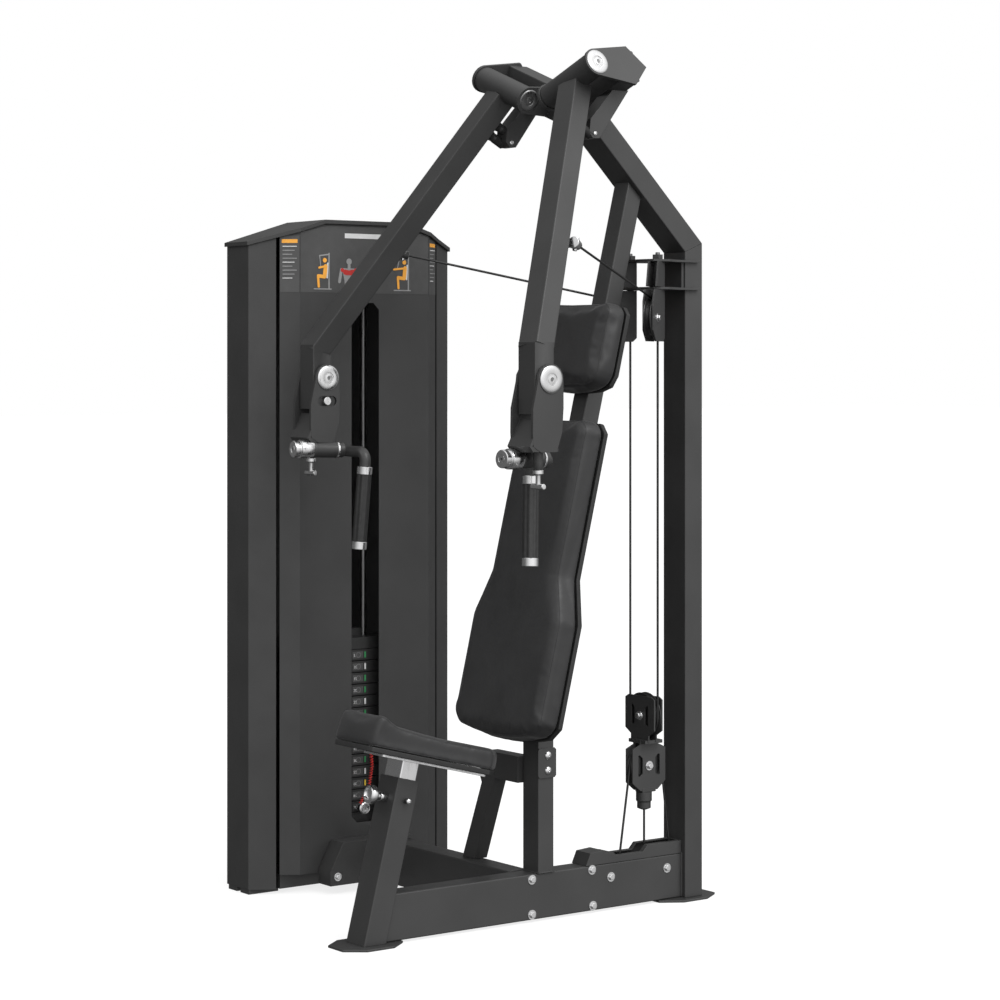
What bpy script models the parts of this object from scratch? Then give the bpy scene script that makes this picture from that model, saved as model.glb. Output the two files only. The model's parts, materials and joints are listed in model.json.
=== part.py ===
"""Chest press machine: a selectorised gym machine with two hanging, converging press arms.

The origin lies on the floor, on the user's centre plane, under the foot of the front leg.
The user faces -Y, +Z is up, and the weight tower stands at -X. Lengths are in metres.
"""

import math

import bmesh
import bpy
from mathutils import Matrix, Vector

# ---------------------------------------------------------------- driving dimensions
GAP = 0.0003  # clearance between pieces that touch
X, Y, Z = Vector((1, 0, 0)), Vector((0, 1, 0)), Vector((0, 0, 1))
SIDES = {"left": 1, "right": -1}  # the user's left is +X

WALL = 0.003  # steel tube wall
PLATE = 0.006  # floor plates and bracket plates
FLOOR_TUBES = PLATE + GAP  # underside of the tubes that stand on the floor plates

LEAN = math.radians(14.2)  # front leg and seat, from the vertical
LEG_FOOT = Vector((0, 0.034, PLATE))  # leg axis at the floor plate
LEG_SIZE = (0.080, 0.064)
LEG_LENGTH = 0.4015
LEG_WALL = 0.0045
SEAT_TUBE_SIZE = (0.0685, 0.050)
SEAT_TUBE_BELOW = 0.240  # how far the seat tube reaches into the leg
SEAT_PIN_HEIGHT = 0.349  # along the leg
SEAT_DEPTH = 0.4025
SEAT_BASE = 0.4636  # underside of the seat pad, measured along the leg from the origin

BEAM_WIDTH, BEAM_HEIGHT = 0.060, 0.115
BEAM_TOP = FLOOR_TUBES + BEAM_HEIGHT
CROSS_BEAM_Y = 0.518
CROSS_BEAM_END = -0.6555

COLUMN_Y, COLUMN_WIDTH, COLUMN_DEPTH = 1.033, 0.090, 0.060
COLUMN_FRONT = COLUMN_Y - COLUMN_DEPTH / 2
MITRE_Z = 1.707  # column axis meets boom axis
BOOM_END_Y = 0.6858

BACK_LEAN = math.radians(13.8)
PAD_FACE = Vector((0, 0.511, 0.900))  # a point on the front plane of the back pads
PAD_DEPTH = 0.074
POST_DEPTH = 0.050

PIVOT_CENTRE = Vector((0, 0.557, 2.0548))  # where the two pivot axes meet
PIVOT_RISE = math.radians(20.6)
CHEEK = 0.008
SLEEVE_RADIUS = 0.032
SLEEVE_FROM, SLEEVE_TO = 0.054, 0.246  # along the pivot axis
SHAFT_RADIUS = 0.012

ARM_TOP = (0.154, 0.5524, 2.0905)
ARM_BEND = (0.4725, 0.190, 1.440)
ARM_FOOT_Z = 1.286
ARM_SIZE = (0.066, 0.056)
CLAMP = (0.357, 0.403, 1.684)  # where the arm cable leaves its clamp

CLEVIS_AXIS = (0.4725, 0.200, 1.366)
CLEVIS_HALF = 0.0435  # from the arm's middle to the outer face of a clevis plate
CLEVIS_PLATE = 0.008
CLEVIS_CROWN = 0.0365  # radius round the tilt pin
STOP_PIN = (0.4725, 0.198, 1.306)
STOP_PIN_RADIUS = 0.0105
HANDLE_FACE = Vector((0.451, 0.107, 1.184))  # front face of the handle's end cap
HANDLE_AXIS = Vector((-0.111, 0.994, -0.03)).normalized()
CAP_LENGTH, HOUSING_LENGTH = 0.053, 0.068
HANDLE_TUBE = 0.01425
ELBOWS = ((0.435, 0.259, 1.176), (0.3525, 0.2665, 1.176))
GRIP_TOP, GRIP_FOOT = (0.355, 0.264, 1.128), (0.365, 0.254, 0.938)
GRIP_RADIUS = 0.0185
LOCK_PIN = (0.487, 0.185)

CABLE = 0.003  # cable radius
CABLE_X, CABLE_Y = 0.056, 0.9005  # the vertical cables of the floating block
UPPER_PULLEY = (0.084, 0.859, 1.520)
UPPER_RADIUS = 0.0497  # to the cable's centre line
BRACKET_Z = (1.598, 1.670)
BLOCK_UPPER_Z, BLOCK_LOWER = 0.487, (0, 0.906, 0.357)
BLOCK_UPPER_RADIUS, BLOCK_LOWER_RADIUS = 0.056, 0.052
BASE_RADIUS = 0.046
FRONT_BASE, REAR_BASE = (0, 0.766, 0.088), (0, 0.947, 0.088)
CORNER_RADIUS = 0.018
CORNER = (-0.018, 0.526, 0.042)
TOWER_PULLEY_RADIUS = 0.040
FOOT_PULLEY = (-0.740, 0.518, 0.082)
TOP_PULLEY = (-0.740, 0.4425, 1.660)

TOWER_Y = 0.4425
CASING_FRONT, CASING_BACK, CASING_HALF = -0.694, -0.804, 0.322
SHEET = 0.003
TOWER_FOOT, TOWER_EAVES, TOWER_RIDGE = 0.012, 1.7165, 1.775
RIDGE_HALF = 0.1315
SHROUD_FACE = -0.621
SHROUD_HALF = 0.2075
SHROUD_FOOT = 0.050
SLOT_HALF, SLOT_Z = 0.044, (0.170, 1.566)
STACK_X = -0.700
PLATE_PITCH, PLATE_COUNT = 0.0315, 15  # the top plate is the first
TOP_PLATE_Z = 0.6475
GUIDE_SPACING = 0.044
PIN_Z = TOP_PLATE_Z - (PLATE_COUNT - 1) * PLATE_PITCH

LOOKS = {  # base colour, roughness, metallic
    "frame_paint": ((0.035, 0.035, 0.037), 0.45, 0.3),
    "panel_paint": ((0.030, 0.030, 0.032), 0.50, 0.2),
    "leather": ((0.012, 0.012, 0.013), 0.55, 0.0),
    "rubber": ((0.010, 0.010, 0.010), 0.80, 0.0),
    "chrome": ((0.80, 0.80, 0.82), 0.15, 1.0),
    "pulley_plastic": ((0.015, 0.015, 0.016), 0.40, 0.0),
    "cable": ((0.010, 0.010, 0.011), 0.40, 0.0),
    "weight": ((0.020, 0.020, 0.021), 0.55, 0.4),
}


# ---------------------------------------------------------------- scene and helpers
def clear_scene():
    for old in list(bpy.data.objects):
        bpy.data.objects.remove(old, do_unlink=True)


def new_collection(name):
    made = bpy.data.collections.new(name)
    bpy.context.scene.collection.children.link(made)
    return made


def look_of(name):
    """The Principled material of this name, made on first use."""
    if name in bpy.data.materials:
        return bpy.data.materials[name]
    colour, roughness, metallic = LOOKS[name]
    made = bpy.data.materials.new(name)
    made.use_nodes = True
    shader = made.node_tree.nodes["Principled BSDF"]
    shader.inputs["Base Color"].default_value = (*colour, 1)
    shader.inputs["Roughness"].default_value = roughness
    shader.inputs["Metallic"].default_value = metallic
    return made


def axes_at(origin, u, v):
    """The matrix whose X and Y axes are u and v, at origin."""
    u, v = u.normalized(), v.normalized()
    w = u.cross(v)
    rows = Matrix((u, v, w)).transposed().to_4x4()
    return Matrix.Translation(Vector(origin)) @ rows


def along(direction):
    """Rotation that turns +Z to direction."""
    return Vector(direction).to_track_quat("Z", "Y").to_matrix().to_4x4()


def mirrored(side, point):
    return Vector((side * point[0], point[1], point[2]))


def add_object(name, data, look, matrix=None, collection=None):
    made = bpy.data.objects.new(name, data)
    made.matrix_world = matrix or Matrix.Identity(4)
    (collection or MACHINE).objects.link(made)
    if look:
        data.materials.append(look_of(look))
    return made


def curve_to_mesh(curve_object, look):
    """Replaces a curve with its mesh, the caps welded to the sides."""
    name, matrix = curve_object.name, curve_object.matrix_world.copy()
    bpy.context.view_layer.update()
    graph = bpy.context.evaluated_depsgraph_get()
    mesh = bpy.data.meshes.new_from_object(curve_object.evaluated_get(graph))
    bpy.data.objects.remove(curve_object)
    work = bmesh.new()
    work.from_mesh(mesh)
    bmesh.ops.remove_doubles(work, verts=work.verts, dist=1e-6)
    bmesh.ops.recalc_face_normals(work, faces=work.faces)
    work.to_mesh(mesh)
    work.free()
    mesh.materials.clear()
    return add_object(name, mesh, look, matrix)


def prism(name, outline, thickness, look, origin=(0, 0, 0), u=X, v=Y, holes=()):
    """A flat outline in the u, v plane, with thickness spread equally on both sides of origin."""
    curve = bpy.data.curves.new(name, "CURVE")
    curve.dimensions = "2D"
    curve.fill_mode = "BOTH"
    curve.extrude = thickness / 2
    for loop in (outline, *holes):
        spline = curve.splines.new("POLY")
        spline.points.add(len(loop) - 1)
        for point, (a, b) in zip(spline.points, loop):
            point.co = (a, b, 0, 1)
        spline.use_cyclic_u = True
    made = add_object(name, curve, None, axes_at(origin, u, v))
    return curve_to_mesh(made, look)


def box(name, low, high, look):
    low, high = Vector(low), Vector(high)
    mesh = bpy.data.meshes.new(name)
    work = bmesh.new()
    size = Matrix.Diagonal((*(high - low), 1))
    bmesh.ops.create_cube(work, size=1, matrix=size)
    work.to_mesh(mesh)
    work.free()
    return add_object(name, mesh, look, Matrix.Translation((low + high) / 2))


def rod(name, start, end, radius, look, segments=20):
    start, end = Vector(start), Vector(end)
    mesh = bpy.data.meshes.new(name)
    work = bmesh.new()
    bmesh.ops.create_cone(
        work, cap_ends=True, segments=segments, radius1=radius, radius2=radius, depth=(end - start).length
    )
    work.to_mesh(mesh)
    work.free()
    mesh.shade_smooth()
    mesh.set_sharp_from_angle(angle=math.radians(40))
    return add_object(name, mesh, look, Matrix.Translation((start + end) / 2) @ along(end - start))


def turned(name, profile, look, origin, axis, steps=24, ring=False):
    """A turned piece. The profile's (radius, height) points run from the top down the outer side."""
    mesh = bpy.data.meshes.new(name)
    edges = [(i, i + 1) for i in range(len(profile) - 1)]
    if ring:
        edges.append((len(profile) - 1, 0))
    mesh.from_pydata([(radius, 0, height) for radius, height in profile], edges, [])
    made = add_object(name, mesh, look, Matrix.Translation(Vector(origin)) @ along(axis))
    screw = made.modifiers.new("turn", "SCREW")
    screw.steps = screw.render_steps = steps
    screw.use_merge_vertices = True
    screw.merge_threshold = 1e-5
    return made


def wire(name, points, radius, look, resolution=2):
    """A round tube along the points, with closed ends."""
    curve = bpy.data.curves.new(name, "CURVE")
    curve.dimensions = "3D"
    curve.bevel_depth = radius
    curve.bevel_resolution = resolution
    curve.use_fill_caps = True
    spline = curve.splines.new("POLY")
    spline.points.add(len(points) - 1)
    for point, place in zip(spline.points, points):
        point.co = (*place, 1)
    return curve_to_mesh(add_object(name, curve, None), look)


def rounded_path(corners, radius, steps=5):
    """The corners of a path, each inner one replaced with an arc of this radius."""
    corners = [Vector(corner) for corner in corners]
    path = [corners[0]]
    for before, corner, after in zip(corners, corners[1:], corners[2:]):
        back, ahead = (before - corner).normalized(), (after - corner).normalized()
        half = back.angle(ahead) / 2
        middle = (back + ahead).normalized()
        centre = corner + middle * radius / math.sin(half)
        reach = radius / math.tan(half)
        first, last = corner + back * reach - centre, corner + ahead * reach - centre
        turn = first.angle(last)
        axis = first.cross(last)
        path += [centre + Matrix.Rotation(turn * i / steps, 3, axis) @ first for i in range(steps + 1)]
    return path + [corners[-1]]


def arc_points(centre, radius, first, last, u, v, steps):
    """Points round a centre in the u, v plane, from angle first to angle last in degrees."""
    made = []
    for i in range(steps + 1):
        angle = math.radians(first + (last - first) * i / steps)
        made.append(Vector(centre) + radius * (math.cos(angle) * u + math.sin(angle) * v))
    return made


def rectangle(width, height, middle=(0, 0)):
    a, b = middle
    return [
        (a + i * width / 2, b + j * height / 2) for i, j in ((-1, -1), (1, -1), (1, 1), (-1, 1))
    ]


def rounded(outline, radius, steps=2):
    """A closed outline with every corner rounded."""
    made = []
    for i, corner in enumerate(outline):
        corner = Vector(corner)
        back = (Vector(outline[i - 1]) - corner).normalized()
        ahead = (Vector(outline[(i + 1) % len(outline)]) - corner).normalized()
        half = back.angle(ahead) / 2
        reach = radius / math.tan(half)
        centre = corner + (back + ahead).normalized() * radius / math.sin(half)
        first, last = corner + back * reach - centre, corner + ahead * reach - centre
        start = math.atan2(first.y, first.x)
        sweep = math.remainder(math.atan2(last.y, last.x) - start, 2 * math.pi)
        for k in range(steps + 1):
            angle = start + sweep * k / steps
            made.append((centre.x + radius * math.cos(angle), centre.y + radius * math.sin(angle)))
    return made


def tube(name, start, end, size, side, look, wall=None, corner=0.004):
    """A rectangular tube from start to end, its first size along side. A solid bar if it has no wall."""
    start, end = Vector(start), Vector(end)
    run = (end - start).normalized()
    u = (side - side.dot(run) * run).normalized()
    v = run.cross(u)
    hollow = [rectangle(size[0] - 2 * wall, size[1] - 2 * wall)] if wall else []
    section = rounded(rectangle(*size), corner)
    return prism(name, section, (end - start).length, look, (start + end) / 2, u, v, hollow)


def as_tool(piece):
    """Moves a piece that only shapes others to the cutters' collection."""
    for collection in list(piece.users_collection):
        collection.objects.unlink(piece)
    CUTTERS.objects.link(piece)
    piece.hide_render = True
    piece.display_type = "WIRE"
    return piece


def combine(piece, operation, tools):
    for tool in tools:
        change = piece.modifiers.new(tool.name, "BOOLEAN")
        change.operation = operation
        change.solver = "EXACT"
        change.object = as_tool(tool)
    return piece


def cut(piece, *tools):
    return combine(piece, "DIFFERENCE", tools)


def fuse(piece, *tools):
    return combine(piece, "UNION", tools)


def keep(piece, *tools):
    return combine(piece, "INTERSECT", tools)


def beyond(point, normal, size=2.0):
    """A cutter that takes everything past a plane."""
    u = normal.orthogonal()
    v = normal.cross(u)
    middle = Vector(point) + normal.normalized() * size / 2
    return prism("beyond", rectangle(size, size), size, None, middle, u, v)


# ---------------------------------------------------------------- floor frame
def leg_point(height, forward=0.0):
    """A point at this height along the front leg, this far in front of its axis."""
    up = Vector((0, math.sin(LEAN), math.cos(LEAN)))
    front = Vector((0, -math.cos(LEAN), math.sin(LEAN)))
    return LEG_FOOT + height * up + forward * front


def floor_frame():
    front = [(0.032, -0.055), (0.069, -0.006), (0.069, 0.071), (0.032, 0.120)]
    rear = [(0.032, 0.925), (0.068, 0.981), (0.068, 1.061), (0.032, 1.117)]
    for name, half in (("front_foot_plate", front), ("rear_foot_plate", rear)):
        outline = half + [(-x, y) for x, y in reversed(half)]
        prism(name, outline, PLATE, "frame_paint", (0, 0, PLATE / 2))

    leg = tube("front_leg", leg_point(-0.05), leg_point(LEG_LENGTH), LEG_SIZE, X, "frame_paint", LEG_WALL)
    face = LEG_SIZE[1] / 2
    sleeve = rod("pin_sleeve", leg_point(SEAT_PIN_HEIGHT, face - 0.002),
                 leg_point(SEAT_PIN_HEIGHT, face + 0.018),
                 0.011, None)
    bore = rod("pin_bore", leg_point(SEAT_PIN_HEIGHT, face - 0.02), leg_point(SEAT_PIN_HEIGHT, face + 0.03),
               0.0065, None, 16)
    fuse(leg, sleeve)
    cut(leg, beyond((0, 0, FLOOR_TUBES), -Z), bore)

    beam_z = FLOOR_TUBES + BEAM_HEIGHT / 2
    beam = tube("main_beam", (0, 0.03, beam_z), (0, COLUMN_FRONT - GAP, beam_z), (BEAM_WIDTH, BEAM_HEIGHT), X,
                "frame_paint", WALL)
    leg_rear = leg_point(0, -face - GAP)
    cut(
        beam,
        beyond(leg_rear, Vector((0, -math.cos(LEAN), math.sin(LEAN)))),
        box("cable_slot", (-0.014, 0.716, BEAM_TOP - 0.01), (0.014, 0.999, BEAM_TOP + 0.01), None),
        box("side_window", (-0.04, 0.500, 0.028), (-0.02, 0.5452, 0.056), None),
    )

    tube("cross_beam", (-BEAM_WIDTH / 2 - GAP, CROSS_BEAM_Y, beam_z), (CROSS_BEAM_END, CROSS_BEAM_Y, beam_z),
         (BEAM_WIDTH, BEAM_HEIGHT), Y, "frame_paint", WALL)

    # The guard is a folded channel over the cable slot, raised where the base pulleys stand proud.
    half = BEAM_WIDTH / 2
    foot = BEAM_TOP + GAP
    rise = [(0.700, 0.153), (0.745, 0.156), (0.751, 0.148), (0.775, 0.148), (0.786, 0.139), (0.873, 0.139),
            (0.888, 0.155)]
    end = COLUMN_FRONT - GAP
    guard = prism("cable_guard", [(0.685, foot), *rise, (end, 0.155), (end, foot)], 2 * half, "frame_paint",
                  u=Y, v=Z)
    lowered = [(y, z - WALL) for y, z in rise]
    lowered[0] = (lowered[0][0] + 0.002, lowered[0][1])
    inside = prism("guard_inside",
                   [(0.690, foot - 0.01), *lowered, (end + 0.01, 0.152), (end + 0.01, foot - 0.01)],
                   2 * (half - WALL), None, u=Y, v=Z)
    cut(guard, inside, box("guard_slot", (-0.016, 0.790, 0.130), (0.016, 0.9985, 0.170), None))


# ---------------------------------------------------------------- column, boom and head
def boom_direction():
    return Vector((0, -1, 1)).normalized()


def column_and_boom():
    size = (COLUMN_WIDTH, COLUMN_DEPTH)
    mitre = Vector((0, COLUMN_Y, MITRE_Z))
    mitre_up = Vector((0, -math.sin(math.radians(22.5)), math.cos(math.radians(22.5))))
    column = tube("column", (0, COLUMN_Y, FLOOR_TUBES), mitre + 0.05 * Z, size, X, "frame_paint", WALL)
    cut(column, beyond(mitre - GAP / 2 * mitre_up, mitre_up))

    run = boom_direction()
    reach = (COLUMN_Y - BOOM_END_Y) * math.sqrt(2)
    boom = tube("boom", mitre - 0.05 * run, mitre + (reach + 0.05) * run, size, X, "frame_paint", WALL)
    cut(boom, beyond(mitre + GAP / 2 * mitre_up, -mitre_up), beyond((0, BOOM_END_Y, 2.05), -Y))


def pivot_axes(side):
    """The outward axis of this side's pivot, and the upward direction square to it."""
    outward = Vector((side * math.cos(PIVOT_RISE), 0, math.sin(PIVOT_RISE)))
    upward = Vector((-side * math.sin(PIVOT_RISE), 0, math.cos(PIVOT_RISE)))
    return outward, upward


def cheek_outline(rear):
    """A cheek plate in the (rearward, upward) plane: round the pivot in front, the rear corners as given."""
    nose = [(0.036 * math.cos(a), 0.036 * math.sin(a))
            for a in (math.radians(d) for d in range(105, 256, 15))]
    return nose + rear


def head(name, side):
    outward, upward = pivot_axes(side)

    def at(reach, back=0.0, up=0.0):
        return PIVOT_CENTRE + reach * outward + back * Y + up * upward

    outer_rear = [(0.108, -0.054), (0.154, -0.004), (0.103, 0.050)]
    inner_rear = [(0.1285, -0.042), (0.1285, 0.042)]
    bracket = tube(name + "_head_bracket", at(-0.05, 0.098), at(0.2466, 0.098), (0.061, 0.084), Y,
                   "frame_paint")
    outer = prism("outer_cheek", cheek_outline(outer_rear), CHEEK, None, at(0.2506), Y, upward)
    inner = prism("inner_cheek", cheek_outline(inner_rear), CHEEK, None, at(0.048), Y, upward)
    # A tapered bracket hangs from the cross member and carries the arm's rubber stop.
    stop_outline = [(0.640, 2.085), (0.570, 2.008), (0.566, 1.973), (0.577, 1.961), (0.597, 1.961),
                    (0.690, 2.085)]
    stop = prism("stop_bracket", stop_outline, 0.044, None, (side * 0.173, 0, 0), Y, Z)
    buffers = [
        rod("stop_buffer", (side * (0.177 - s * 0.0059), 0.5390 + s * 0.0067, 2.0065 + s * 0.0120),
            (side * (0.177 - s * 0.0059), 0.5844 + s * 0.0067, 1.9816 + s * 0.0120), 0.0115, None, 16)
        for s in (1, -1)
    ]
    fuse(bracket, outer, inner, stop, *buffers)
    centre_plane = beyond((side * GAP / 2, 0, 2), Vector((-side, 0, 0)))
    bore = rod("shaft_bore", at(0.0), at(0.30), SHAFT_RADIUS + 0.0004, None)
    cut(bracket, centre_plane, bore)

    turned(
        name + "_pivot_shaft",
        [(0, 0.2586), (0.029, 0.2586), (0.0315, 0.2566), (0.0315, 0.2549), (SHAFT_RADIUS, 0.2549),
         (SHAFT_RADIUS, 0.0437), (0.029, 0.0437), (0.029, 0.0406), (0, 0.0406)],
        "chrome", PIVOT_CENTRE, outward,
    )


# ---------------------------------------------------------------- seat and back
def back_axes():
    up = Vector((0, math.sin(BACK_LEAN), math.cos(BACK_LEAN)))
    front = Vector((0, -math.cos(BACK_LEAN), math.sin(BACK_LEAN)))
    return up, front


def back_point(height, behind):
    """A point this far up the back pads' front plane from PAD_FACE, and this far behind it."""
    up, front = back_axes()
    return PAD_FACE + height * up - behind * front


def back_supports():
    post_depth = PAD_DEPTH + GAP + POST_DEPTH / 2
    size = (0.060, POST_DEPTH)
    post = tube("back_post", back_point(-0.55, post_depth), back_point(1.2, post_depth), size, X,
                "frame_paint", WALL)
    under_boom = Vector((0, COLUMN_FRONT, MITRE_Z - COLUMN_DEPTH / 2 * math.tan(math.radians(22.5))))
    upward = Vector((0, 1, 1)).normalized()
    cut(post, beyond(under_boom - GAP * upward, upward), beyond((0, 0.5, 0.480), -Z))

    seat_post = tube("seat_post", (0, 0.555, BEAM_TOP + GAP), (0, 0.555, 0.565), (0.066, 0.050), X,
                     "frame_paint", WALL)
    clearance = tube("post_clearance", back_point(-0.6, post_depth), back_point(0.2, post_depth),
                     (0.08, POST_DEPTH + 2 * GAP), X, None)
    side_plate = prism("side_plate", rounded([(0.527, 0.365), (0.532, 0.360), (0.579, 0.360), (0.584, 0.365),
                                              (0.584, 0.430), (0.579, 0.435), (0.532, 0.435), (0.527, 0.430)],
                                             0.001, 1),
                       0.005, None, (0.0345, 0, 0), Y, Z)
    fuse(seat_post, side_plate)
    cut(seat_post, clearance)

    brace_end = -0.066 / 2 - GAP
    foot = BEAM_TOP + GAP
    prism("seat_brace", [(-0.273, foot), (-0.220, foot), (-0.133, 0.342), (brace_end, 0.342),
                         (brace_end, 0.409),
                         (-0.172, 0.409), (-0.192, 0.392), (-0.197, 0.342), (-0.189, 0.325)],
          0.040, "frame_paint", (0, 0.535, 0), X, Z)


def bowed_bottom(half, corner_height, lowest, steps=6):
    """A bottom edge from left to right, bowed down at the middle."""
    edge = []
    for i in range(steps + 1):
        x = -1 + 2 * i / steps
        edge.append((x * half, corner_height - (corner_height - lowest) * (1 - x * x)))
    return edge


def back_pads():
    up, front = back_axes()
    lower, upper = 0.1885, 0.1465
    outline = [*bowed_bottom(lower - 0.03, -0.425, -0.443), (lower, -0.395), (lower, -0.134), (upper, -0.021),
               (upper, 0.356), (upper - 0.025, 0.381), (-upper + 0.025, 0.381), (-upper, 0.356),
               (-upper, -0.021),
               (-lower, -0.134), (-lower, -0.395)]
    prism("back_pad", outline, PAD_DEPTH, "leather", back_point(0, PAD_DEPTH / 2), X, up)
    half = 0.145
    outline = [*bowed_bottom(half - 0.05, 0.458, 0.452), (half - 0.015, 0.470), (half, 0.500), (half, 0.664),
               (half - 0.020, 0.684), (-half + 0.020, 0.684), (-half, 0.664), (-half, 0.500),
               (-half + 0.015, 0.470)]
    prism("headrest_pad", outline, PAD_DEPTH, "leather", back_point(0, PAD_DEPTH / 2), X, up)


def seat():
    up = Vector((0, math.sin(LEAN), math.cos(LEAN)))
    rearward = Vector((0, math.cos(LEAN), -math.sin(LEAN)))
    below_pad = SEAT_BASE - LEG_FOOT.dot(up)
    plate_foot = below_pad - GAP - PLATE
    front_edge = -0.015 * rearward.y + 0.482 * rearward.z  # the pad's front, along rearward

    seat_tube = tube("seat_tube", leg_point(LEG_LENGTH - SEAT_TUBE_BELOW), leg_point(plate_foot + 0.001),
                     SEAT_TUBE_SIZE, X, "chrome", WALL)
    plate_at = leg_point(plate_foot + PLATE / 2)
    offset = front_edge - plate_at.dot(rearward)
    plate_outline = rounded([(offset + 0.070, -0.045), (offset + 0.390, -0.045), (offset + 0.390, 0.045),
                             (offset + 0.070, 0.045)], 0.010)
    plate = prism("seat_plate", plate_outline, PLATE, None, plate_at, rearward, X)
    fuse(seat_tube, plate)
    holes = [
        rod("adjusting_hole", leg_point(SEAT_PIN_HEIGHT - i * 0.035, 0.015),
            leg_point(SEAT_PIN_HEIGHT - i * 0.035, 0.04),
            0.007, None, 12)
        for i in range(5)
    ]
    cut(seat_tube, *holes)

    side_profile = [(0, 0), (SEAT_DEPTH, 0), (SEAT_DEPTH, 0.055), (SEAT_DEPTH - 0.006, 0.062),
                    (0.213, 0.0604), (0.148, 0.0635),
                    (0.071, 0.0687), (0.045, 0.080), (0.027, 0.0875), (0.0138, 0.0876)]
    plan = [(0.0, 0.062), (0.008, 0.084), (0.028, 0.092), (0.150, 0.104), (0.300, 0.117), (0.345, 0.119),
            (SEAT_DEPTH, 0.060)]
    pad_at = front_edge * rearward + SEAT_BASE * up
    pad = prism("seat_pad", side_profile, 0.26, "leather", pad_at, rearward, up)
    outline = plan + [(s, -x) for s, x in reversed(plan)]
    keep(pad, prism("seat_plan", outline, 0.3, None, pad_at, rearward, X))

    front = LEG_SIZE[1] / 2
    tip = SEAT_TUBE_SIZE[1] / 2 + 0.001
    turned("seat_pull_pin",
           [(0, front + 0.052), (0.018, front + 0.052), (0.023, front + 0.047), (0.023, front + 0.036),
            (0.018, front + 0.031), (0.010, front + 0.0305), (0.010, front + 0.0190), (0.006, front + 0.0190),
            (0.006, tip), (0, tip)],
           "chrome", leg_point(SEAT_PIN_HEIGHT), leg_point(0, 1) - leg_point(0), 20)


# ---------------------------------------------------------------- pulleys and cables
def pulley(name, centre, axis, radius, width, axle, flange=0.0045, look="pulley_plastic"):
    """A grooved pulley with its axle. The cable's centre line runs at radius."""
    groove, rim = radius - CABLE - 0.0010, radius + flange
    half = width / 2
    profile = [(0, axle), (0.006, axle), (0.006, half), (rim, half), (groove, 0.0028), (groove, -0.0028),
               (rim, -half), (0.006, -half), (0.006, -axle), (0, -axle)]
    return turned(name, profile, look, centre, axis, 18)


def swivel_axes(side):
    """Level direction from the swivel's axis to the pulley centre, and the pulley's axle direction."""
    ahead = mirrored(side, UPPER_PULLEY) - Vector((side * CABLE_X, CABLE_Y, UPPER_PULLEY[2]))
    ahead.normalize()
    return ahead, ahead.cross(Z)


def upper_pulley(name, side):
    ahead, across = swivel_axes(side)
    centre = mirrored(side, UPPER_PULLEY)
    pulley(name + "_upper_pulley", centre, across, UPPER_RADIUS, 0.020, 0.0102)

    stem = Vector((side * CABLE_X, CABLE_Y, 0))
    # Cheeks run from under the pulley's axle up to a cross block that turns between the bracket plates.
    outline = [(-0.016, 0.0735), (-0.016, -0.050), (-0.006, -0.060), (0.062, -0.060), (0.090, -0.032),
               (0.090, 0.042), (0.074, 0.0735)]
    level = stem + Vector((0, 0, UPPER_PULLEY[2]))
    cheeks = [
        prism("cheek", outline, 0.004, None, level + s * 0.0126 * across, ahead, Z) for s in (1, -1)
    ]
    # The cheeks go on above the lower bracket plate, up to the one above.
    low, high = BRACKET_Z[0] + PLATE / 2 + GAP, BRACKET_Z[1] - PLATE / 2 - GAP
    between = Vector((stem.x, stem.y, (low + high) / 2))
    upper_outline = [(-0.016, -(high - low) / 2), (0.060, -(high - low) / 2), (0.042, (high - low) / 2),
                     (-0.016, (high - low) / 2)]
    cheeks += [
        prism("upper_cheek", upper_outline, 0.004, None, between + s * 0.0126 * across, ahead, Z)
        for s in (1, -1)
    ]
    swivel = prism(name + "_pulley_swivel", rectangle(0.044, 0.0292, (0.006, 0)), 0.012, "frame_paint",
                   level + Vector((0, 0, 0.0665)), ahead, across)
    hub_foot, hub_top = level.z + 0.070, BRACKET_Z[1] + PLATE / 2 + 0.012
    hub = rod("hub", stem + hub_foot * Z, stem + hub_top * Z, 0.009, None, 20)
    head_nut = rod("hub_nut", stem + (BRACKET_Z[1] + PLATE / 2 + GAP) * Z, stem + hub_top * Z, 0.014, None, 6)
    collar = rod("hub_collar", stem + (low + 0.001) * Z, stem + (high - 0.001) * Z, 0.0135, None, 20)
    fuse(swivel, *cheeks, hub, head_nut, collar)
    axle_hole = rod("axle_hole", centre - 0.03 * across, centre + 0.03 * across, 0.0063, None, 16)
    cut(swivel, axle_hole)


def pulley_bracket():
    notch = COLUMN_WIDTH / 2 + GAP
    front = COLUMN_FRONT - GAP
    half = [(0.030, 0.862), (0.074, 0.872), (0.078, 0.925), (0.058, 0.965), (0.056, 1.044), (notch, 1.044),
            (notch, front)]
    outline = half + [(-x, y) for x, y in reversed(half)]
    plates = [prism("plate", outline, PLATE, None, (0, 0, z)) for z in BRACKET_Z]
    low, high = BRACKET_Z
    bracket = box("pulley_bracket", (-0.040, front - 0.008, low - 0.001), (0.040, front, high + 0.001),
                  "frame_paint")
    fuse(bracket, *plates)
    cut(bracket, *[
        rod("hub_bore", (side * CABLE_X, CABLE_Y, low - 0.02), (side * CABLE_X, CABLE_Y, high + 0.02), 0.0094,
            None, 20)
        for side in SIDES.values()
    ])


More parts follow.
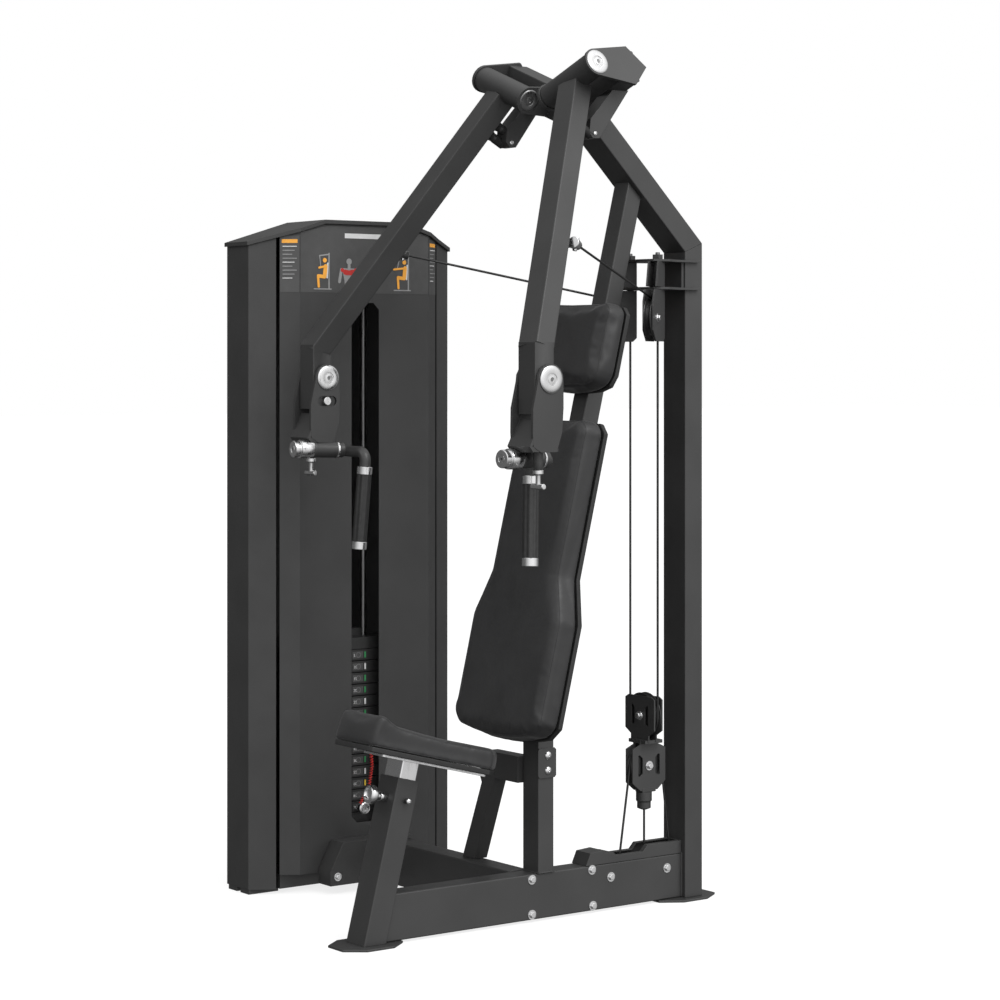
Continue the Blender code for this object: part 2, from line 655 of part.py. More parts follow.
def floating_block():
    z = BLOCK_UPPER_Z
    y0, z0 = BLOCK_LOWER[1], BLOCK_LOWER[2]
    upper_outline = [(-0.059, z - 0.035), (-0.036, z - 0.049), (-0.036, z - 0.067), (0.036, z - 0.067),
                     (0.036, z - 0.049), (0.059, z - 0.035), (0.059, z + 0.045), (0.046, z + 0.052),
                     (-0.046, z + 0.052), (-0.059, z + 0.045)]
    lower_outline = [(y0 - 0.028, z0 - 0.064), (y0 + 0.028, z0 - 0.064), (y0 + 0.055, z0 - 0.042),
                     (y0 + 0.055, z0 + 0.045), (y0 + 0.030, z0 + 0.056), (y0 + 0.030, z0 + 0.066),
                     (y0 - 0.030, z0 + 0.066), (y0 - 0.030, z0 + 0.056), (y0 - 0.055, z0 + 0.045),
                     (y0 - 0.055, z0 - 0.042)]
    slots = [rounded([(s * 0.021, z - 0.020), (s * 0.034, z - 0.028), (s * 0.034, z + 0.034),
                      (s * 0.021, z + 0.020)],
                     0.003, 1) for s in (-1, 1)]
    lower_slots = [rounded([(y0 + s * 0.021, z0 - 0.020), (y0 + s * 0.036, z0 - 0.030),
                            (y0 + s * 0.036, z0 + 0.034),
                            (y0 + s * 0.021, z0 + 0.020)], 0.003, 1) for s in (-1, 1)]
    plates = [prism("plate", upper_outline, 0.004, None, (0, CABLE_Y + s * 0.0126, 0), X, Z, slots)
              for s in (1, -1)]
    plates += [prism("plate", lower_outline, 0.004, None, (s * 0.0126, 0, 0), Y, Z, lower_slots)
               for s in (1, -1)]
    frame = box("block_frame", (-0.034, y0 - 0.029, z0 + 0.0595), (0.034, y0 + 0.029, z - 0.0615),
                "frame_paint")
    foot = box("block_foot", (-0.0150, y0 - 0.022, z0 - 0.0685), (0.0150, y0 + 0.022, z0 - 0.0580), None)
    fuse(frame, *plates, foot)
    cut(
        frame,
        rod("upper_axle_hole", (0, CABLE_Y - 0.03, z), (0, CABLE_Y + 0.03, z), 0.0063, None, 16),
        rod("lower_axle_hole", (-0.03, y0, z0), (0.03, y0, z0), 0.0063, None, 16),
    )
    pulley("upper_block_pulley", (0, CABLE_Y, z), Y, BLOCK_UPPER_RADIUS, 0.020, 0.0200)
    pulley("lower_block_pulley", BLOCK_LOWER, X, BLOCK_LOWER_RADIUS, 0.020, 0.0200)
    top = z0 - 0.0685 - GAP
    turned("block_swivel", [(0, top), (0.021, top), (0.021, top - 0.022), (0.018, top - 0.026),
                            (0.018, top - 0.042),
                            (0.008, top - 0.046), (0, top - 0.046)], "frame_paint", (0, CABLE_Y, 0), Z, 24)


def base_pulleys():
    inner = BEAM_WIDTH / 2 - WALL - GAP
    pulley("front_base_pulley", FRONT_BASE, X, BASE_RADIUS, 0.020, inner)
    pulley("rear_base_pulley", REAR_BASE, X, BASE_RADIUS, 0.020, inner)
    pulley("corner_pulley", CORNER, Z, CORNER_RADIUS, 0.012, 0.012, 0.003)
    pulley("foot_pulley", FOOT_PULLEY, Y, TOWER_PULLEY_RADIUS, 0.020, 0.0165)
    pulley("top_pulley", TOP_PULLEY, Y, TOWER_PULLEY_RADIUS, 0.020, 0.0165)


def cable_over_pulley(side):
    """The arm cable's points: the clamp, the top of the swivelling pulley, and round its rear side."""
    ahead, _ = swivel_axes(side)
    centre = mirrored(side, UPPER_PULLEY)
    start = mirrored(side, CLAMP)
    to_clamp = start - centre
    level, rise = to_clamp.dot(ahead), to_clamp.z
    first = math.degrees(math.atan2(rise, level) + math.acos(UPPER_RADIUS / math.hypot(level, rise)))
    return [start, *arc_points(centre, UPPER_RADIUS, first, 176, ahead, Z, 6)]


def tangent_angle(low, high, offset):
    """The angle, in the Y, Z plane, of the normal to a cable that runs up the rear side of the low pulley.

    offset is the sum of the radii where the cable changes sides, and their difference where it doesn't.
    """
    rise = Vector((high[1] - low[1], high[2] - low[2]))
    return math.degrees(math.atan2(rise.y, rise.x) - math.acos(offset / rise.length))


def cables():
    for name, side in SIDES.items():
        wire(name + "_arm_cable", cable_over_pulley(side), CABLE, "cable")
    top = UPPER_PULLEY[2] - 0.0008
    sheave = arc_points((0, CABLE_Y, BLOCK_UPPER_Z), BLOCK_UPPER_RADIUS, 180, 360, X, Z, 12)
    wire("block_cable", [Vector((-CABLE_X, CABLE_Y, top)), *sheave, Vector((CABLE_X, CABLE_Y, top))], CABLE,
         "cable")

    swivel_foot = BLOCK_LOWER[2] - 0.0685 - GAP - 0.046 - GAP
    rear = tangent_angle(REAR_BASE, BLOCK_LOWER, BASE_RADIUS - BLOCK_LOWER_RADIUS)
    front = tangent_angle(FRONT_BASE, BLOCK_LOWER, BASE_RADIUS + BLOCK_LOWER_RADIUS)
    run = [Vector((0, REAR_BASE[1] - BASE_RADIUS, swivel_foot))]
    run += arc_points(REAR_BASE, BASE_RADIUS, 180, 360 + rear, Y, Z, 10)
    run += arc_points(BLOCK_LOWER, BLOCK_LOWER_RADIUS, rear, 180 + front, Y, Z, 9)
    run += arc_points(FRONT_BASE, BASE_RADIUS, front, -90, Y, Z, 5)
    run += arc_points(CORNER, CORNER_RADIUS, 0, -90, X, Y, 5)
    run += arc_points(FOOT_PULLEY, TOWER_PULLEY_RADIUS, -90, -180, X, Z, 5)
    run += arc_points(TOP_PULLEY, TOWER_PULLEY_RADIUS, 180, 0, X, Z, 9)
    run.append(Vector((STACK_X, TOWER_Y, TOP_PLATE_Z + 0.038 + GAP)))
    wire("lift_cable", run, CABLE, "cable")


# ---------------------------------------------------------------- press arms
def press_arm(name, side):
    outward, _ = pivot_axes(side)
    arm = rod(name + "_arm", PIVOT_CENTRE + SLEEVE_FROM * outward, PIVOT_CENTRE + SLEEVE_TO * outward,
              SLEEVE_RADIUS,
              "frame_paint", 24)
    top, bend = mirrored(side, ARM_TOP), mirrored(side, ARM_BEND)
    run = (bend - top).normalized()
    lever = tube("lever", top, bend + 0.02 * run, ARM_SIZE, X, None)
    foot = tube("foot", bend + 0.012 * Z, (bend.x, bend.y, ARM_FOOT_Z), ARM_SIZE, X, None)
    below = beyond(bend, Vector((0, 0, -1)).lerp(run, 0.5).normalized(), 0.2)
    cut(lever, below)
    eye_from = Vector((side * 0.353, 0.348, 1.690))
    clamp_at = mirrored(side, CLAMP)
    to_pulley = (mirrored(side, UPPER_PULLEY) + 0.05 * Z - clamp_at).normalized()
    eye = rod("cable_eye", eye_from, clamp_at - 0.012 * Y, 0.0075, None, 16)
    clamp = rod("cable_clamp", clamp_at - 0.030 * to_pulley, clamp_at - GAP * to_pulley, 0.011, None, 20)
    fuse(arm, lever, foot, eye, clamp)
    bore = rod("pivot_bore", PIVOT_CENTRE, PIVOT_CENTRE + 0.3 * outward, SHAFT_RADIUS + 0.0004, None)
    clevis_bore = rod("clevis_bore", mirrored(side, CLEVIS_AXIS) - 0.05 * X,
                      mirrored(side, CLEVIS_AXIS) + 0.05 * X,
                      0.0104, None)
    cut(arm, bore, clevis_bore)
    stop = mirrored(side, STOP_PIN)
    fuse(arm, rod("stop_pin", stop, stop - side * CLEVIS_HALF * X, STOP_PIN_RADIUS, None, 16))

    # One turned pin holds the clevis, with a wide cap on each side. The stop pin runs in a slot of its inner plate.
    cap_in, cap_out = CLEVIS_HALF + GAP, CLEVIS_HALF + 0.005
    turned(name + "_clevis_pin",
           [(0, cap_out), (0.029, cap_out), (0.032, cap_out - 0.002), (0.032, cap_in), (0.010, cap_in),
            (0.010, -cap_in), (0.032, -cap_in), (0.032, -cap_out + 0.002), (0.029, -cap_out), (0, -cap_out)],
           "chrome", mirrored(side, CLEVIS_AXIS), X)


def clevis(name, side):
    y0, z0 = CLEVIS_AXIS[1], CLEVIS_AXIS[2]
    turns = [math.radians(d) for d in range(-6, 187, 24)]
    crown = [(y0 + CLEVIS_CROWN * math.cos(a), z0 + CLEVIS_CROWN * math.sin(a)) for a in turns]
    outline = crown + [(0.149, 1.300), (0.148, 1.245), (0.150, 1.212), (0.172, 1.199), (0.217, 1.199),
                       (0.233, 1.245), (0.2365, 1.300)]
    slot = rounded(rectangle(0.057, 0.026, (STOP_PIN[1], STOP_PIN[2])), 0.0125, 3)
    middle = side * CLEVIS_AXIS[0]
    reach = CLEVIS_HALF - CLEVIS_PLATE / 2
    plates = [
        prism("outer_plate", outline, CLEVIS_PLATE, None, (middle + side * reach, 0, 0), Y, Z),
        prism("inner_plate", outline, CLEVIS_PLATE, None, (middle - side * reach, 0, 0), Y, Z, [slot]),
    ]
    inside = CLEVIS_HALF - 0.001
    floor = box(name + "_clevis", (middle - inside, 0.149, 1.200), (middle + inside, 0.222, 1.2075),
                "frame_paint")
    folded = [(0.150, 1.199), (0.158, 1.2065), (0.1475, 1.2135), (0.1775, 1.2715), (0.1710, 1.2750),
              (0.1395, 1.2125)]
    front = prism("front_plate", folded, 2 * CLEVIS_HALF - 0.0006, None, (middle, 0, 0), Y, Z)
    axis = mirrored(side, HANDLE_AXIS)
    face = mirrored(side, HANDLE_FACE)
    housing = rod("housing", face + (CAP_LENGTH + GAP) * axis, face + (CAP_LENGTH + HOUSING_LENGTH) * axis,
                  0.021, None, 20)
    barrel = rod("barrel", (side * LOCK_PIN[0], LOCK_PIN[1], 1.203), (side * LOCK_PIN[0], LOCK_PIN[1], 1.158),
                 0.011, None, 16)
    web = box("web", (middle - 0.020, 0.172, 1.182), (middle + 0.010, 0.200, 1.203), None)
    fuse(floor, *plates, front, housing, barrel, web)
    cut(
        floor,
        rod("pin_bore", (middle - 0.06, y0, z0), (middle + 0.06, y0, z0), 0.0104, None),
        rod("journal_bore", face - 0.05 * axis, face + 0.3 * axis, 0.0148, None),
        rod("cap_way", face - 0.05 * axis, face + (CAP_LENGTH + GAP) * axis, 0.0246, None, 20),
        rod("lock_bore", (side * LOCK_PIN[0], LOCK_PIN[1], 1.1775), (side * LOCK_PIN[0], LOCK_PIN[1], 1.10),
            0.0048, None, 16),
    )


def handle(name, side):
    axis = mirrored(side, HANDLE_AXIS)
    face = mirrored(side, HANDLE_FACE)
    elbows = [mirrored(side, point) for point in ELBOWS]
    grip_top, grip_foot = mirrored(side, GRIP_TOP), mirrored(side, GRIP_FOOT)
    down = (grip_foot - grip_top).normalized()
    collar = CAP_LENGTH + HOUSING_LENGTH + GAP
    cap = turned(name + "_handle",
                 [(0, 0), (0.0215, 0), (0.0215, -0.010), (0.0195, -0.013), (0.0195, -0.017), (0.024, -0.019),
                  (0.024, -CAP_LENGTH), (HANDLE_TUBE, -CAP_LENGTH), (HANDLE_TUBE, -collar), (0.022, -collar),
                  (0.022, -collar - 0.006), (0.019, -collar - 0.007), (0.019, -collar - 0.020),
                  (0, -collar - 0.020)],
                 "chrome", face, -axis, 20)
    route = [face + (collar + 0.010) * axis, *elbows, grip_foot]
    bend = wire("bend", rounded_path(route, 0.024, 4), HANDLE_TUBE, None, 2)
    fuse(cap, bend)

    length = (grip_foot - grip_top).length
    hole, ring = HANDLE_TUBE + GAP, 0.0200
    turned(name + "_grip",
           [(hole, 0.010), (ring, 0.010), (ring, -0.010), (GRIP_RADIUS, -0.011),
            (GRIP_RADIUS, 0.009 - length),
            (ring, 0.008 - length), (ring, -length - 0.012), (0, -length - 0.012), (0, -length - 0.0035),
            (hole, -length - 0.0035)],
           "rubber", grip_top, -down, 20, ring=True)


def lock_pin(name, side):
    x, y = side * LOCK_PIN[0], LOCK_PIN[1]
    pin = turned(name + "_lock_pin",
                 [(0, 1.1770), (0.0042, 1.1770), (0.0042, 1.1577), (0.013, 1.1577), (0.013, 1.149),
                  (0.006, 1.146),
                  (0.006, 1.118), (0, 1.118)], "chrome", (x, y, 0), Z, 20)
    fuse(pin, rod("t_bar", (x - 0.0225, y, 1.120), (x + 0.0225, y, 1.120), 0.0065, None, 16))


# ---------------------------------------------------------------- weight tower
def roof_line(offset, overhang=0.0):
    """The folded top of the tower in the (Y, Z) plane, raised by offset."""
    half = CASING_HALF + overhang
    slope = (TOWER_RIDGE - TOWER_EAVES) / (CASING_HALF - RIDGE_HALF)
    eaves = TOWER_EAVES - slope * overhang
    return [(TOWER_Y - half, eaves + offset), (TOWER_Y - RIDGE_HALF, TOWER_RIDGE + offset),
            (TOWER_Y + RIDGE_HALF, TOWER_RIDGE + offset), (TOWER_Y + half, eaves + offset)]


def above_roof():
    line = roof_line(-GAP, 0.05)
    outline = [*line, (line[-1][0], 1.95), (line[0][0], 1.95)]
    return prism("above_roof", outline, 0.5, None, (-0.7, 0, 0), Y, Z)


def tower_plan(outset=0.0):
    """The casing's plan: back corners, front corners and the lips that turn in towards the shroud."""
    half = CASING_HALF + outset
    return [(CASING_BACK - outset, -half), (CASING_FRONT, -half), (-0.657 + outset, -0.2595 - outset),
            (-0.657 + outset, 0.2595 + outset), (CASING_FRONT, half), (CASING_BACK - outset, half)]


def tower():
    height = 1.82 - TOWER_FOOT
    middle = (0, TOWER_Y, TOWER_FOOT + height / 2)
    outer = tower_plan()
    inner = [(CASING_BACK + SHEET, -CASING_HALF + SHEET), (CASING_FRONT - 0.002, -CASING_HALF + SHEET),
             (-0.6596, -0.2585), (-0.64, -0.2585), (-0.64, 0.2585), (-0.6596, 0.2585),
             (CASING_FRONT - 0.002, CASING_HALF - SHEET), (CASING_BACK + SHEET, CASING_HALF - SHEET)]
    casing = prism("tower_casing", outer, height, "panel_paint", middle)
    cut(casing, prism("casing_inside", inner, height + 0.1, None, middle), above_roof())

    # The shroud is a folded front panel with a slot for the weight stack.
    height = 1.80 - SHROUD_FOOT
    middle = (0, TOWER_Y, SHROUD_FOOT + height / 2)
    face, half = SHROUD_FACE, SHROUD_HALF
    front = [(-0.652, -0.2515), (face, -half), (face, half), (-0.652, 0.2515)]
    back = [(-0.6545, 0.2495), (face - SHEET, half - 0.0015), (face - SHEET, -half + 0.0015),
            (-0.6545, -0.2495)]
    shroud = prism("tower_shroud", front + back, height, "panel_paint", middle)
    slot_middle, slot_height = sum(SLOT_Z) / 2, SLOT_Z[1] - SLOT_Z[0]
    corner = 0.018
    slot = [(-SLOT_HALF + corner, -slot_height / 2), (SLOT_HALF - corner, -slot_height / 2),
            (SLOT_HALF, -slot_height / 2 + corner), (SLOT_HALF, slot_height / 2 - corner),
            (SLOT_HALF - corner, slot_height / 2), (-SLOT_HALF + corner, slot_height / 2),
            (-SLOT_HALF, slot_height / 2 - corner), (-SLOT_HALF, -slot_height / 2 + corner)]
    notch = BEAM_WIDTH / 2 + 0.001
    cut(
        shroud,
        prism("stack_slot", slot, 0.1, None, (face, TOWER_Y, slot_middle), Y, Z),
        box("beam_notch", (-0.66, CROSS_BEAM_Y - notch, 0), (-0.60, CROSS_BEAM_Y + notch, BEAM_TOP + 0.001),
            None),
        above_roof(),
    )

    line, top = roof_line(0, 0.006), roof_line(0.011, 0.006)
    cap = prism("tower_cap", [*line, *reversed(top)], 0.4, "panel_paint", (-0.72, 0, 0), Y, Z)
    cap_plan = [(CASING_BACK - 0.004, -0.328), (-0.690, -0.328), (-0.650, -0.262), (-0.613, -0.210),
                (-0.613, 0.210),
                (-0.650, 0.262), (-0.690, 0.328), (CASING_BACK - 0.004, 0.328)]
    keep(cap, prism("cap_plan", cap_plan, 0.5, None, (0, TOWER_Y, 1.75)))

    inside = SHEET + GAP
    base = box("tower_base", (CASING_BACK + inside, TOWER_Y - CASING_HALF + inside, TOWER_FOOT),
               (-0.7005, TOWER_Y + CASING_HALF - inside, SHROUD_FOOT - 0.001), "frame_paint")
    rail = box("front_rail", (-0.72, TOWER_Y - 0.245, TOWER_FOOT),
               (-0.6600, TOWER_Y + 0.245, SHROUD_FOOT - 0.001), None)
    rest = box("stack_rest", (-0.745, 0.345, TOWER_FOOT), (-0.660, 0.4985, PIN_Z - PLATE_PITCH / 2 - 0.0005),
               None)
    feet = [
        box("foot", (x, y, 0), (x + 0.043, y + 0.091, TOWER_FOOT - GAP), None)
        for x in (-0.797, -0.736) for y in (0.1215, 0.6725)
    ]
    feet += [
        box("plinth", (x + 0.004, y + 0.006, 0.004), (x + 0.032, y + 0.085, 0.030), None)
        for x in (-0.797, -0.736) for y in (0.1215, 0.6725)
    ]
    fuse(base, rail, rest, *feet)
    cut(base, box("pulley_well", (-0.792, 0.4995, 0.0), (-0.640, 0.5365, 0.30), None))

    low, high = Vector((-0.6195, 0.4425, 0.0225)), Vector((-0.560, 0.4425, 0.134))
    foot_half, top_half = 0.1500, 0.1100
    outline = [(-foot_half, low.z), (foot_half, low.z), (foot_half, 0.062), (top_half, high.z),
               (-top_half, high.z),
               (-foot_half, 0.062)]
    cover = prism("tower_foot_cover", outline, high.x - low.x, "panel_paint",
                  ((low.x + high.x) / 2, TOWER_Y, 0), Y, Z)
    cut(cover, box("beam_way", (-0.7, CROSS_BEAM_Y - notch, -0.1),
                   (-0.5, CROSS_BEAM_Y + notch, BEAM_TOP + 0.001), None),
        prism("cover_inside", [(-foot_half + SHEET, 0.0), (foot_half - SHEET, 0.0),
                               (foot_half - SHEET, 0.060),
                               (top_half - SHEET, high.z - SHEET), (-top_half + SHEET, high.z - SHEET),
                               (-foot_half + SHEET, 0.060)], 0.0595, None, (-0.5925, TOWER_Y, 0), Y, Z))


def weight_stack():
    half_x, half_y = 0.045, 0.125
    gap = 0.0018
    plan = rectangle(2 * half_x, 2 * half_y)
    guides = [(STACK_X, TOWER_Y + s * GUIDE_SPACING) for s in (1, -1)]
    foot = PIN_Z - PLATE_PITCH / 2
    head_foot = TOP_PLATE_Z - PLATE_PITCH / 2 + GAP
    middle = (STACK_X, TOWER_Y, (foot + head_foot - 2 * GAP) / 2)
    plates = prism("weight_plates", plan, head_foot - 2 * GAP - foot, "weight", middle)
    # Each plate shows as a separate slab: a narrow groove runs round the stack between neighbours.
    groove_hole = rectangle(2 * half_x - 0.006, 2 * half_y - 0.006)
    grooves = [
        prism("groove", rectangle(0.2, 0.4), gap, None, (STACK_X, TOWER_Y, PIN_Z + (i + 0.5) * PLATE_PITCH),
              holes=[groove_hole])
        for i in range(PLATE_COUNT - 2)
    ]
    pin_holes = [
        rod("pin_hole", (STACK_X + 0.060, TOWER_Y, PIN_Z + i * PLATE_PITCH),
            (STACK_X + 0.008, TOWER_Y, PIN_Z + i * PLATE_PITCH), 0.0058, None, 8)
        for i in range(PLATE_COUNT - 1)
    ]
    ways = [
        rod("rod_way", (x, y, 0.1), (x, y, 0.75), 0.0115, None, 16) for x, y in [*guides, (STACK_X, TOWER_Y)]
    ]
    cut(plates, *grooves, *pin_holes, *ways)

    head_top = TOP_PLATE_Z + PLATE_PITCH / 2
    stack_head = prism("stack_head", plan, head_top - head_foot, "weight",
                       (STACK_X, TOWER_Y, (head_top + head_foot) / 2))
    fuse(
        stack_head,
        box("head_block", (STACK_X - 0.016, TOWER_Y - 0.030, head_top - 0.002),
            (STACK_X + 0.016, TOWER_Y + 0.030, TOP_PLATE_Z + 0.038), None),
        rod("selector_rod", (STACK_X, TOWER_Y, PIN_Z - 0.012), (STACK_X, TOWER_Y, TOP_PLATE_Z), 0.0108, None,
            16),
    )
    head_ways = [rod("head_way", (x, y, 0.5), (x, y, 0.75), 0.0115, None, 16) for x, y in guides]
    rod_hole = rod("selector_hole", (STACK_X - 0.004, TOWER_Y, PIN_Z), (STACK_X + 0.03, TOWER_Y, PIN_Z),
                   0.0058, None, 12)
    cut(stack_head, *head_ways, rod_hole)

    turned("selector_pin",
           [(0, -0.6195), (0.014, -0.6195), (0.017, -0.6225), (0.017, -0.6345), (0.014, -0.6375),
            (0.007, -0.6385),
            (0.007, -0.6540), (0.0048, -0.6540), (0.0048, -0.7020), (0, -0.7020)],
           "chrome", (0, TOWER_Y, PIN_Z), X, 18)

    yoke_z = 1.606
    rods = box("guide_rods", (STACK_X - 0.014, TOWER_Y - 0.115, yoke_z),
               (STACK_X + 0.014, TOWER_Y + 0.115, yoke_z + 0.012), "chrome")
    cheeks = [
        box("pulley_cheek", (TOP_PULLEY[0] - 0.012, TOWER_Y + s * 0.0145 - 0.002, yoke_z),
            (STACK_X, TOWER_Y + s * 0.0145 + 0.002, TOP_PULLEY[2] + 0.012), None)
        for s in (1, -1)
    ]
    guide_rods = [rod("guide", (x, y, 0.192), (x, y, yoke_z + 0.006), 0.0095, None, 14) for x, y in guides]
    fuse(rods, *cheeks, *guide_rods)
    cut(rods, rod("cable_way", (STACK_X, TOWER_Y, 1.5), (STACK_X, TOWER_Y, 1.65), 0.006, None, 12),
        rod("axle_way", (TOP_PULLEY[0], TOWER_Y - 0.03, TOP_PULLEY[2]),
            (TOP_PULLEY[0], TOWER_Y + 0.03, TOP_PULLEY[2]), 0.0064, None, 16))


def pin_lanyard():
    start = Vector((-0.6160, TOWER_Y - 0.022, PIN_Z + 0.012))
    corners = [start, (-0.6120, TOWER_Y + 0.006, PIN_Z + 0.060), (-0.6120, TOWER_Y + 0.016, PIN_Z + 0.120),
               (-0.6160, TOWER_Y + 0.014, 0.366)]
    wire("pin_lanyard", rounded_path(corners, 0.02, 4), 0.0035, "cable")


clear_scene()
MACHINE = new_collection("chest_press_machine")
CUTTERS = new_collection("cutters")
floor_frame()
column_and_boom()
back_supports()
back_pads()
seat()
pulley_bracket()
floating_block()
base_pulleys()
for side_name, side_sign in SIDES.items():
    head(side_name, side_sign)
    press_arm(side_name, side_sign)
    clevis(side_name, side_sign)
    handle(side_name, side_sign)
    lock_pin(side_name, side_sign)
    upper_pulley(side_name, side_sign)
cables()
tower()
weight_stack()
pin_lanyard()
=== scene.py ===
"""Looks of the chest press machine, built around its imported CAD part."""

import json
import math

import bmesh
import bpy
from mathutils import Matrix, Vector


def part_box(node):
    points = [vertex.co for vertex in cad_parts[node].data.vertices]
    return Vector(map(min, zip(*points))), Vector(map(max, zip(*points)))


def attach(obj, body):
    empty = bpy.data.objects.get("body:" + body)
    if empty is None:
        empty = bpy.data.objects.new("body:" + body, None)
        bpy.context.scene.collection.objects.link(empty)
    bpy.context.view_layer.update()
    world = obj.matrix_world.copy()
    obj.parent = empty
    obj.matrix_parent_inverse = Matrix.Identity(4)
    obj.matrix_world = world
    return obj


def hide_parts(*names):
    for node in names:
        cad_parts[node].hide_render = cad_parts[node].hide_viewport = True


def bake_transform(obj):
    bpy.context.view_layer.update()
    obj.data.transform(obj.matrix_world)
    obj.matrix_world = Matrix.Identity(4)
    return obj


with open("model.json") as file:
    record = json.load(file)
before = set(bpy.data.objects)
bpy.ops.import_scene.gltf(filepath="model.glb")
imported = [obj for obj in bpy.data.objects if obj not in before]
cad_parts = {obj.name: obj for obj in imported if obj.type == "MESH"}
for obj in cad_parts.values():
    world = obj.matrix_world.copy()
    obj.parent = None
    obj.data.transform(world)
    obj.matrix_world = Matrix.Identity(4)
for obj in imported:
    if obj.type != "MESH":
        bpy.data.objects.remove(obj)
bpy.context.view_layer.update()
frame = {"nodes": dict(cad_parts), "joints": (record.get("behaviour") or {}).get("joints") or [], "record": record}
JOINTS = {joint["name"]: joint for joint in frame["joints"]}
SLOTS = {part["node"]: part["material_slot"] for part in frame["record"]["subparts"]}
BODIES = {node: body for body, nodes in frame["record"]["behaviour"]["bodies"].items() for node in nodes}
SIDES = {"left": 1, "right": -1}
X, Y, Z = Vector((1, 0, 0)), Vector((0, 1, 0)), Vector((0, 0, 1))
LOOK = "_look"  # ends the name of every material made here

# Places and sizes of the CAD part, in metres.
LEFT_CLAMP = (0.357, 0.403, 1.684)  # where the arm cable leaves its clamp
PAD_DEPTH, BOARD_DEPTH = 0.074, 0.012
SIMULATED_FRAMES = 20
PLATE_PITCH, PLATE_GAP = 0.0315, 0.0016
TOWER_Y = 0.4425
PLACARD_FOOT, FIGURE_FOOT = 1.592, 1.6
PRINT = 0.0002  # thickness of a printed patch
FLANGE, WHEEL_HALF = 0.0045, 0.01  # of every pulley: its rim over the cable's line, and half its width

BRIGHT_SIDE = Vector((0.62, -0.05, 0.78)).normalized()  # where the studio's light comes from
DIM, BRIGHT = 0.16, 1.5  # strength of the studio's light on the dark side and on the bright side


# ---- materials
class Shader:
    """A Principled material built from nodes, in metres of object space."""

    def __init__(self, name, roughness=0.5, metallic=0.0, **sockets):
        self.material = bpy.data.materials.new(name + LOOK)
        self.material.use_nodes = True
        self.tree = self.material.node_tree
        self.shader = self.tree.nodes["Principled BSDF"]
        self.shader.inputs["Roughness"].default_value = roughness
        self.shader.inputs["Metallic"].default_value = metallic
        for socket, value in sockets.items():
            self.shader.inputs[socket.replace("_", " ")].default_value = value
        self.place = self.node("ShaderNodeTexCoord").outputs["Object"]
        self.normal = None

    def node(self, kind, **settings):
        made = self.tree.nodes.new(kind)
        for key, value in settings.items():
            setattr(made, key, value)
        return made

    def link(self, source, target):
        self.tree.links.new(source, target)

    def noise(self, scale, detail=3.0, stretch=None):
        made = self.node("ShaderNodeTexNoise")
        made.inputs["Scale"].default_value = scale
        made.inputs["Detail"].default_value = detail
        place = self.place
        if stretch:
            mapping = self.node("ShaderNodeMapping")
            mapping.inputs["Scale"].default_value = stretch
            self.link(place, mapping.inputs["Vector"])
            place = mapping.outputs["Vector"]
        self.link(place, made.inputs["Vector"])
        return made.outputs["Fac"]

    def cells(self, scale, feature="DISTANCE_TO_EDGE"):
        made = self.node("ShaderNodeTexVoronoi", feature=feature)
        made.inputs["Scale"].default_value = scale
        self.link(self.place, made.inputs["Vector"])
        return made.outputs["Distance"]

    def ramp(self, factor, low, high, start=0.3, end=0.7):
        made = self.node("ShaderNodeValToRGB")
        for element, position, value in zip(made.color_ramp.elements, (start, end), (low, high)):
            element.position = position
            element.color = (*value, 1) if isinstance(value, tuple) else (value, value, value, 1)
        self.link(factor, made.inputs["Fac"])
        return made.outputs["Color"]

    def vary(self, socket, factor, low, high, start=0.3, end=0.7):
        self.link(self.ramp(factor, low, high, start, end), self.shader.inputs[socket])

    def soft_edges(self, radius):
        made = self.node("ShaderNodeBevel", samples=4)
        made.inputs["Radius"].default_value = radius
        self.normal = made.outputs["Normal"]
        self.link(self.normal, self.shader.inputs["Normal"])

    def bump(self, height, distance, strength=1.0):
        made = self.node("ShaderNodeBump")
        made.inputs["Distance"].default_value = distance
        made.inputs["Strength"].default_value = strength
        self.link(height, made.inputs["Height"])
        if self.normal:
            self.link(self.normal, made.inputs["Normal"])
        self.normal = made.outputs["Normal"]
        self.link(self.normal, self.shader.inputs["Normal"])


def grey(value):
    return (value, value, value)


def powder_coat(name, dark, light, roughness):
    """Charcoal powder coat: fine orange-peel grain, slight clouding and softly rounded edges in the shading."""
    made = Shader(name, roughness, 0.0)
    made.vary("Base Color", made.noise(7.0, 5.0), grey(dark), grey(light), 0.25, 0.75)
    made.vary("Roughness", made.noise(18.0, 4.0), roughness - 0.05, roughness + 0.07)
    made.soft_edges(0.0012)
    made.bump(made.noise(1600.0, 2.0), 0.00012, 0.35)
    return made.material


def plated(name, value, roughness):
    """Bright plating with faint hairline wear."""
    made = Shader(name, roughness, 1.0)
    made.vary("Base Color", made.noise(30.0, 3.0), grey(value * 0.94), (value, value, value * 1.01))
    made.vary("Roughness", made.noise(220.0, 4.0, (1.0, 1.0, 0.12)), roughness * 0.7, roughness * 1.6)
    made.bump(made.noise(900.0, 2.0, (1.0, 1.0, 0.1)), 0.00004, 0.3)
    return made.material


def plastic(name, dark, light, roughness, grain=700.0, depth=0.00008):
    """Moulded plastic, rubber or print: an even colour with a fine grain."""
    made = Shader(name, roughness, 0.0)
    made.vary("Base Color", made.noise(40.0, 4.0), dark, light)
    made.vary("Roughness", made.noise(60.0, 3.0), roughness - 0.05, roughness + 0.06)
    made.soft_edges(0.0006)
    made.bump(made.noise(grain, 2.0), depth, 0.5)
    return made.material


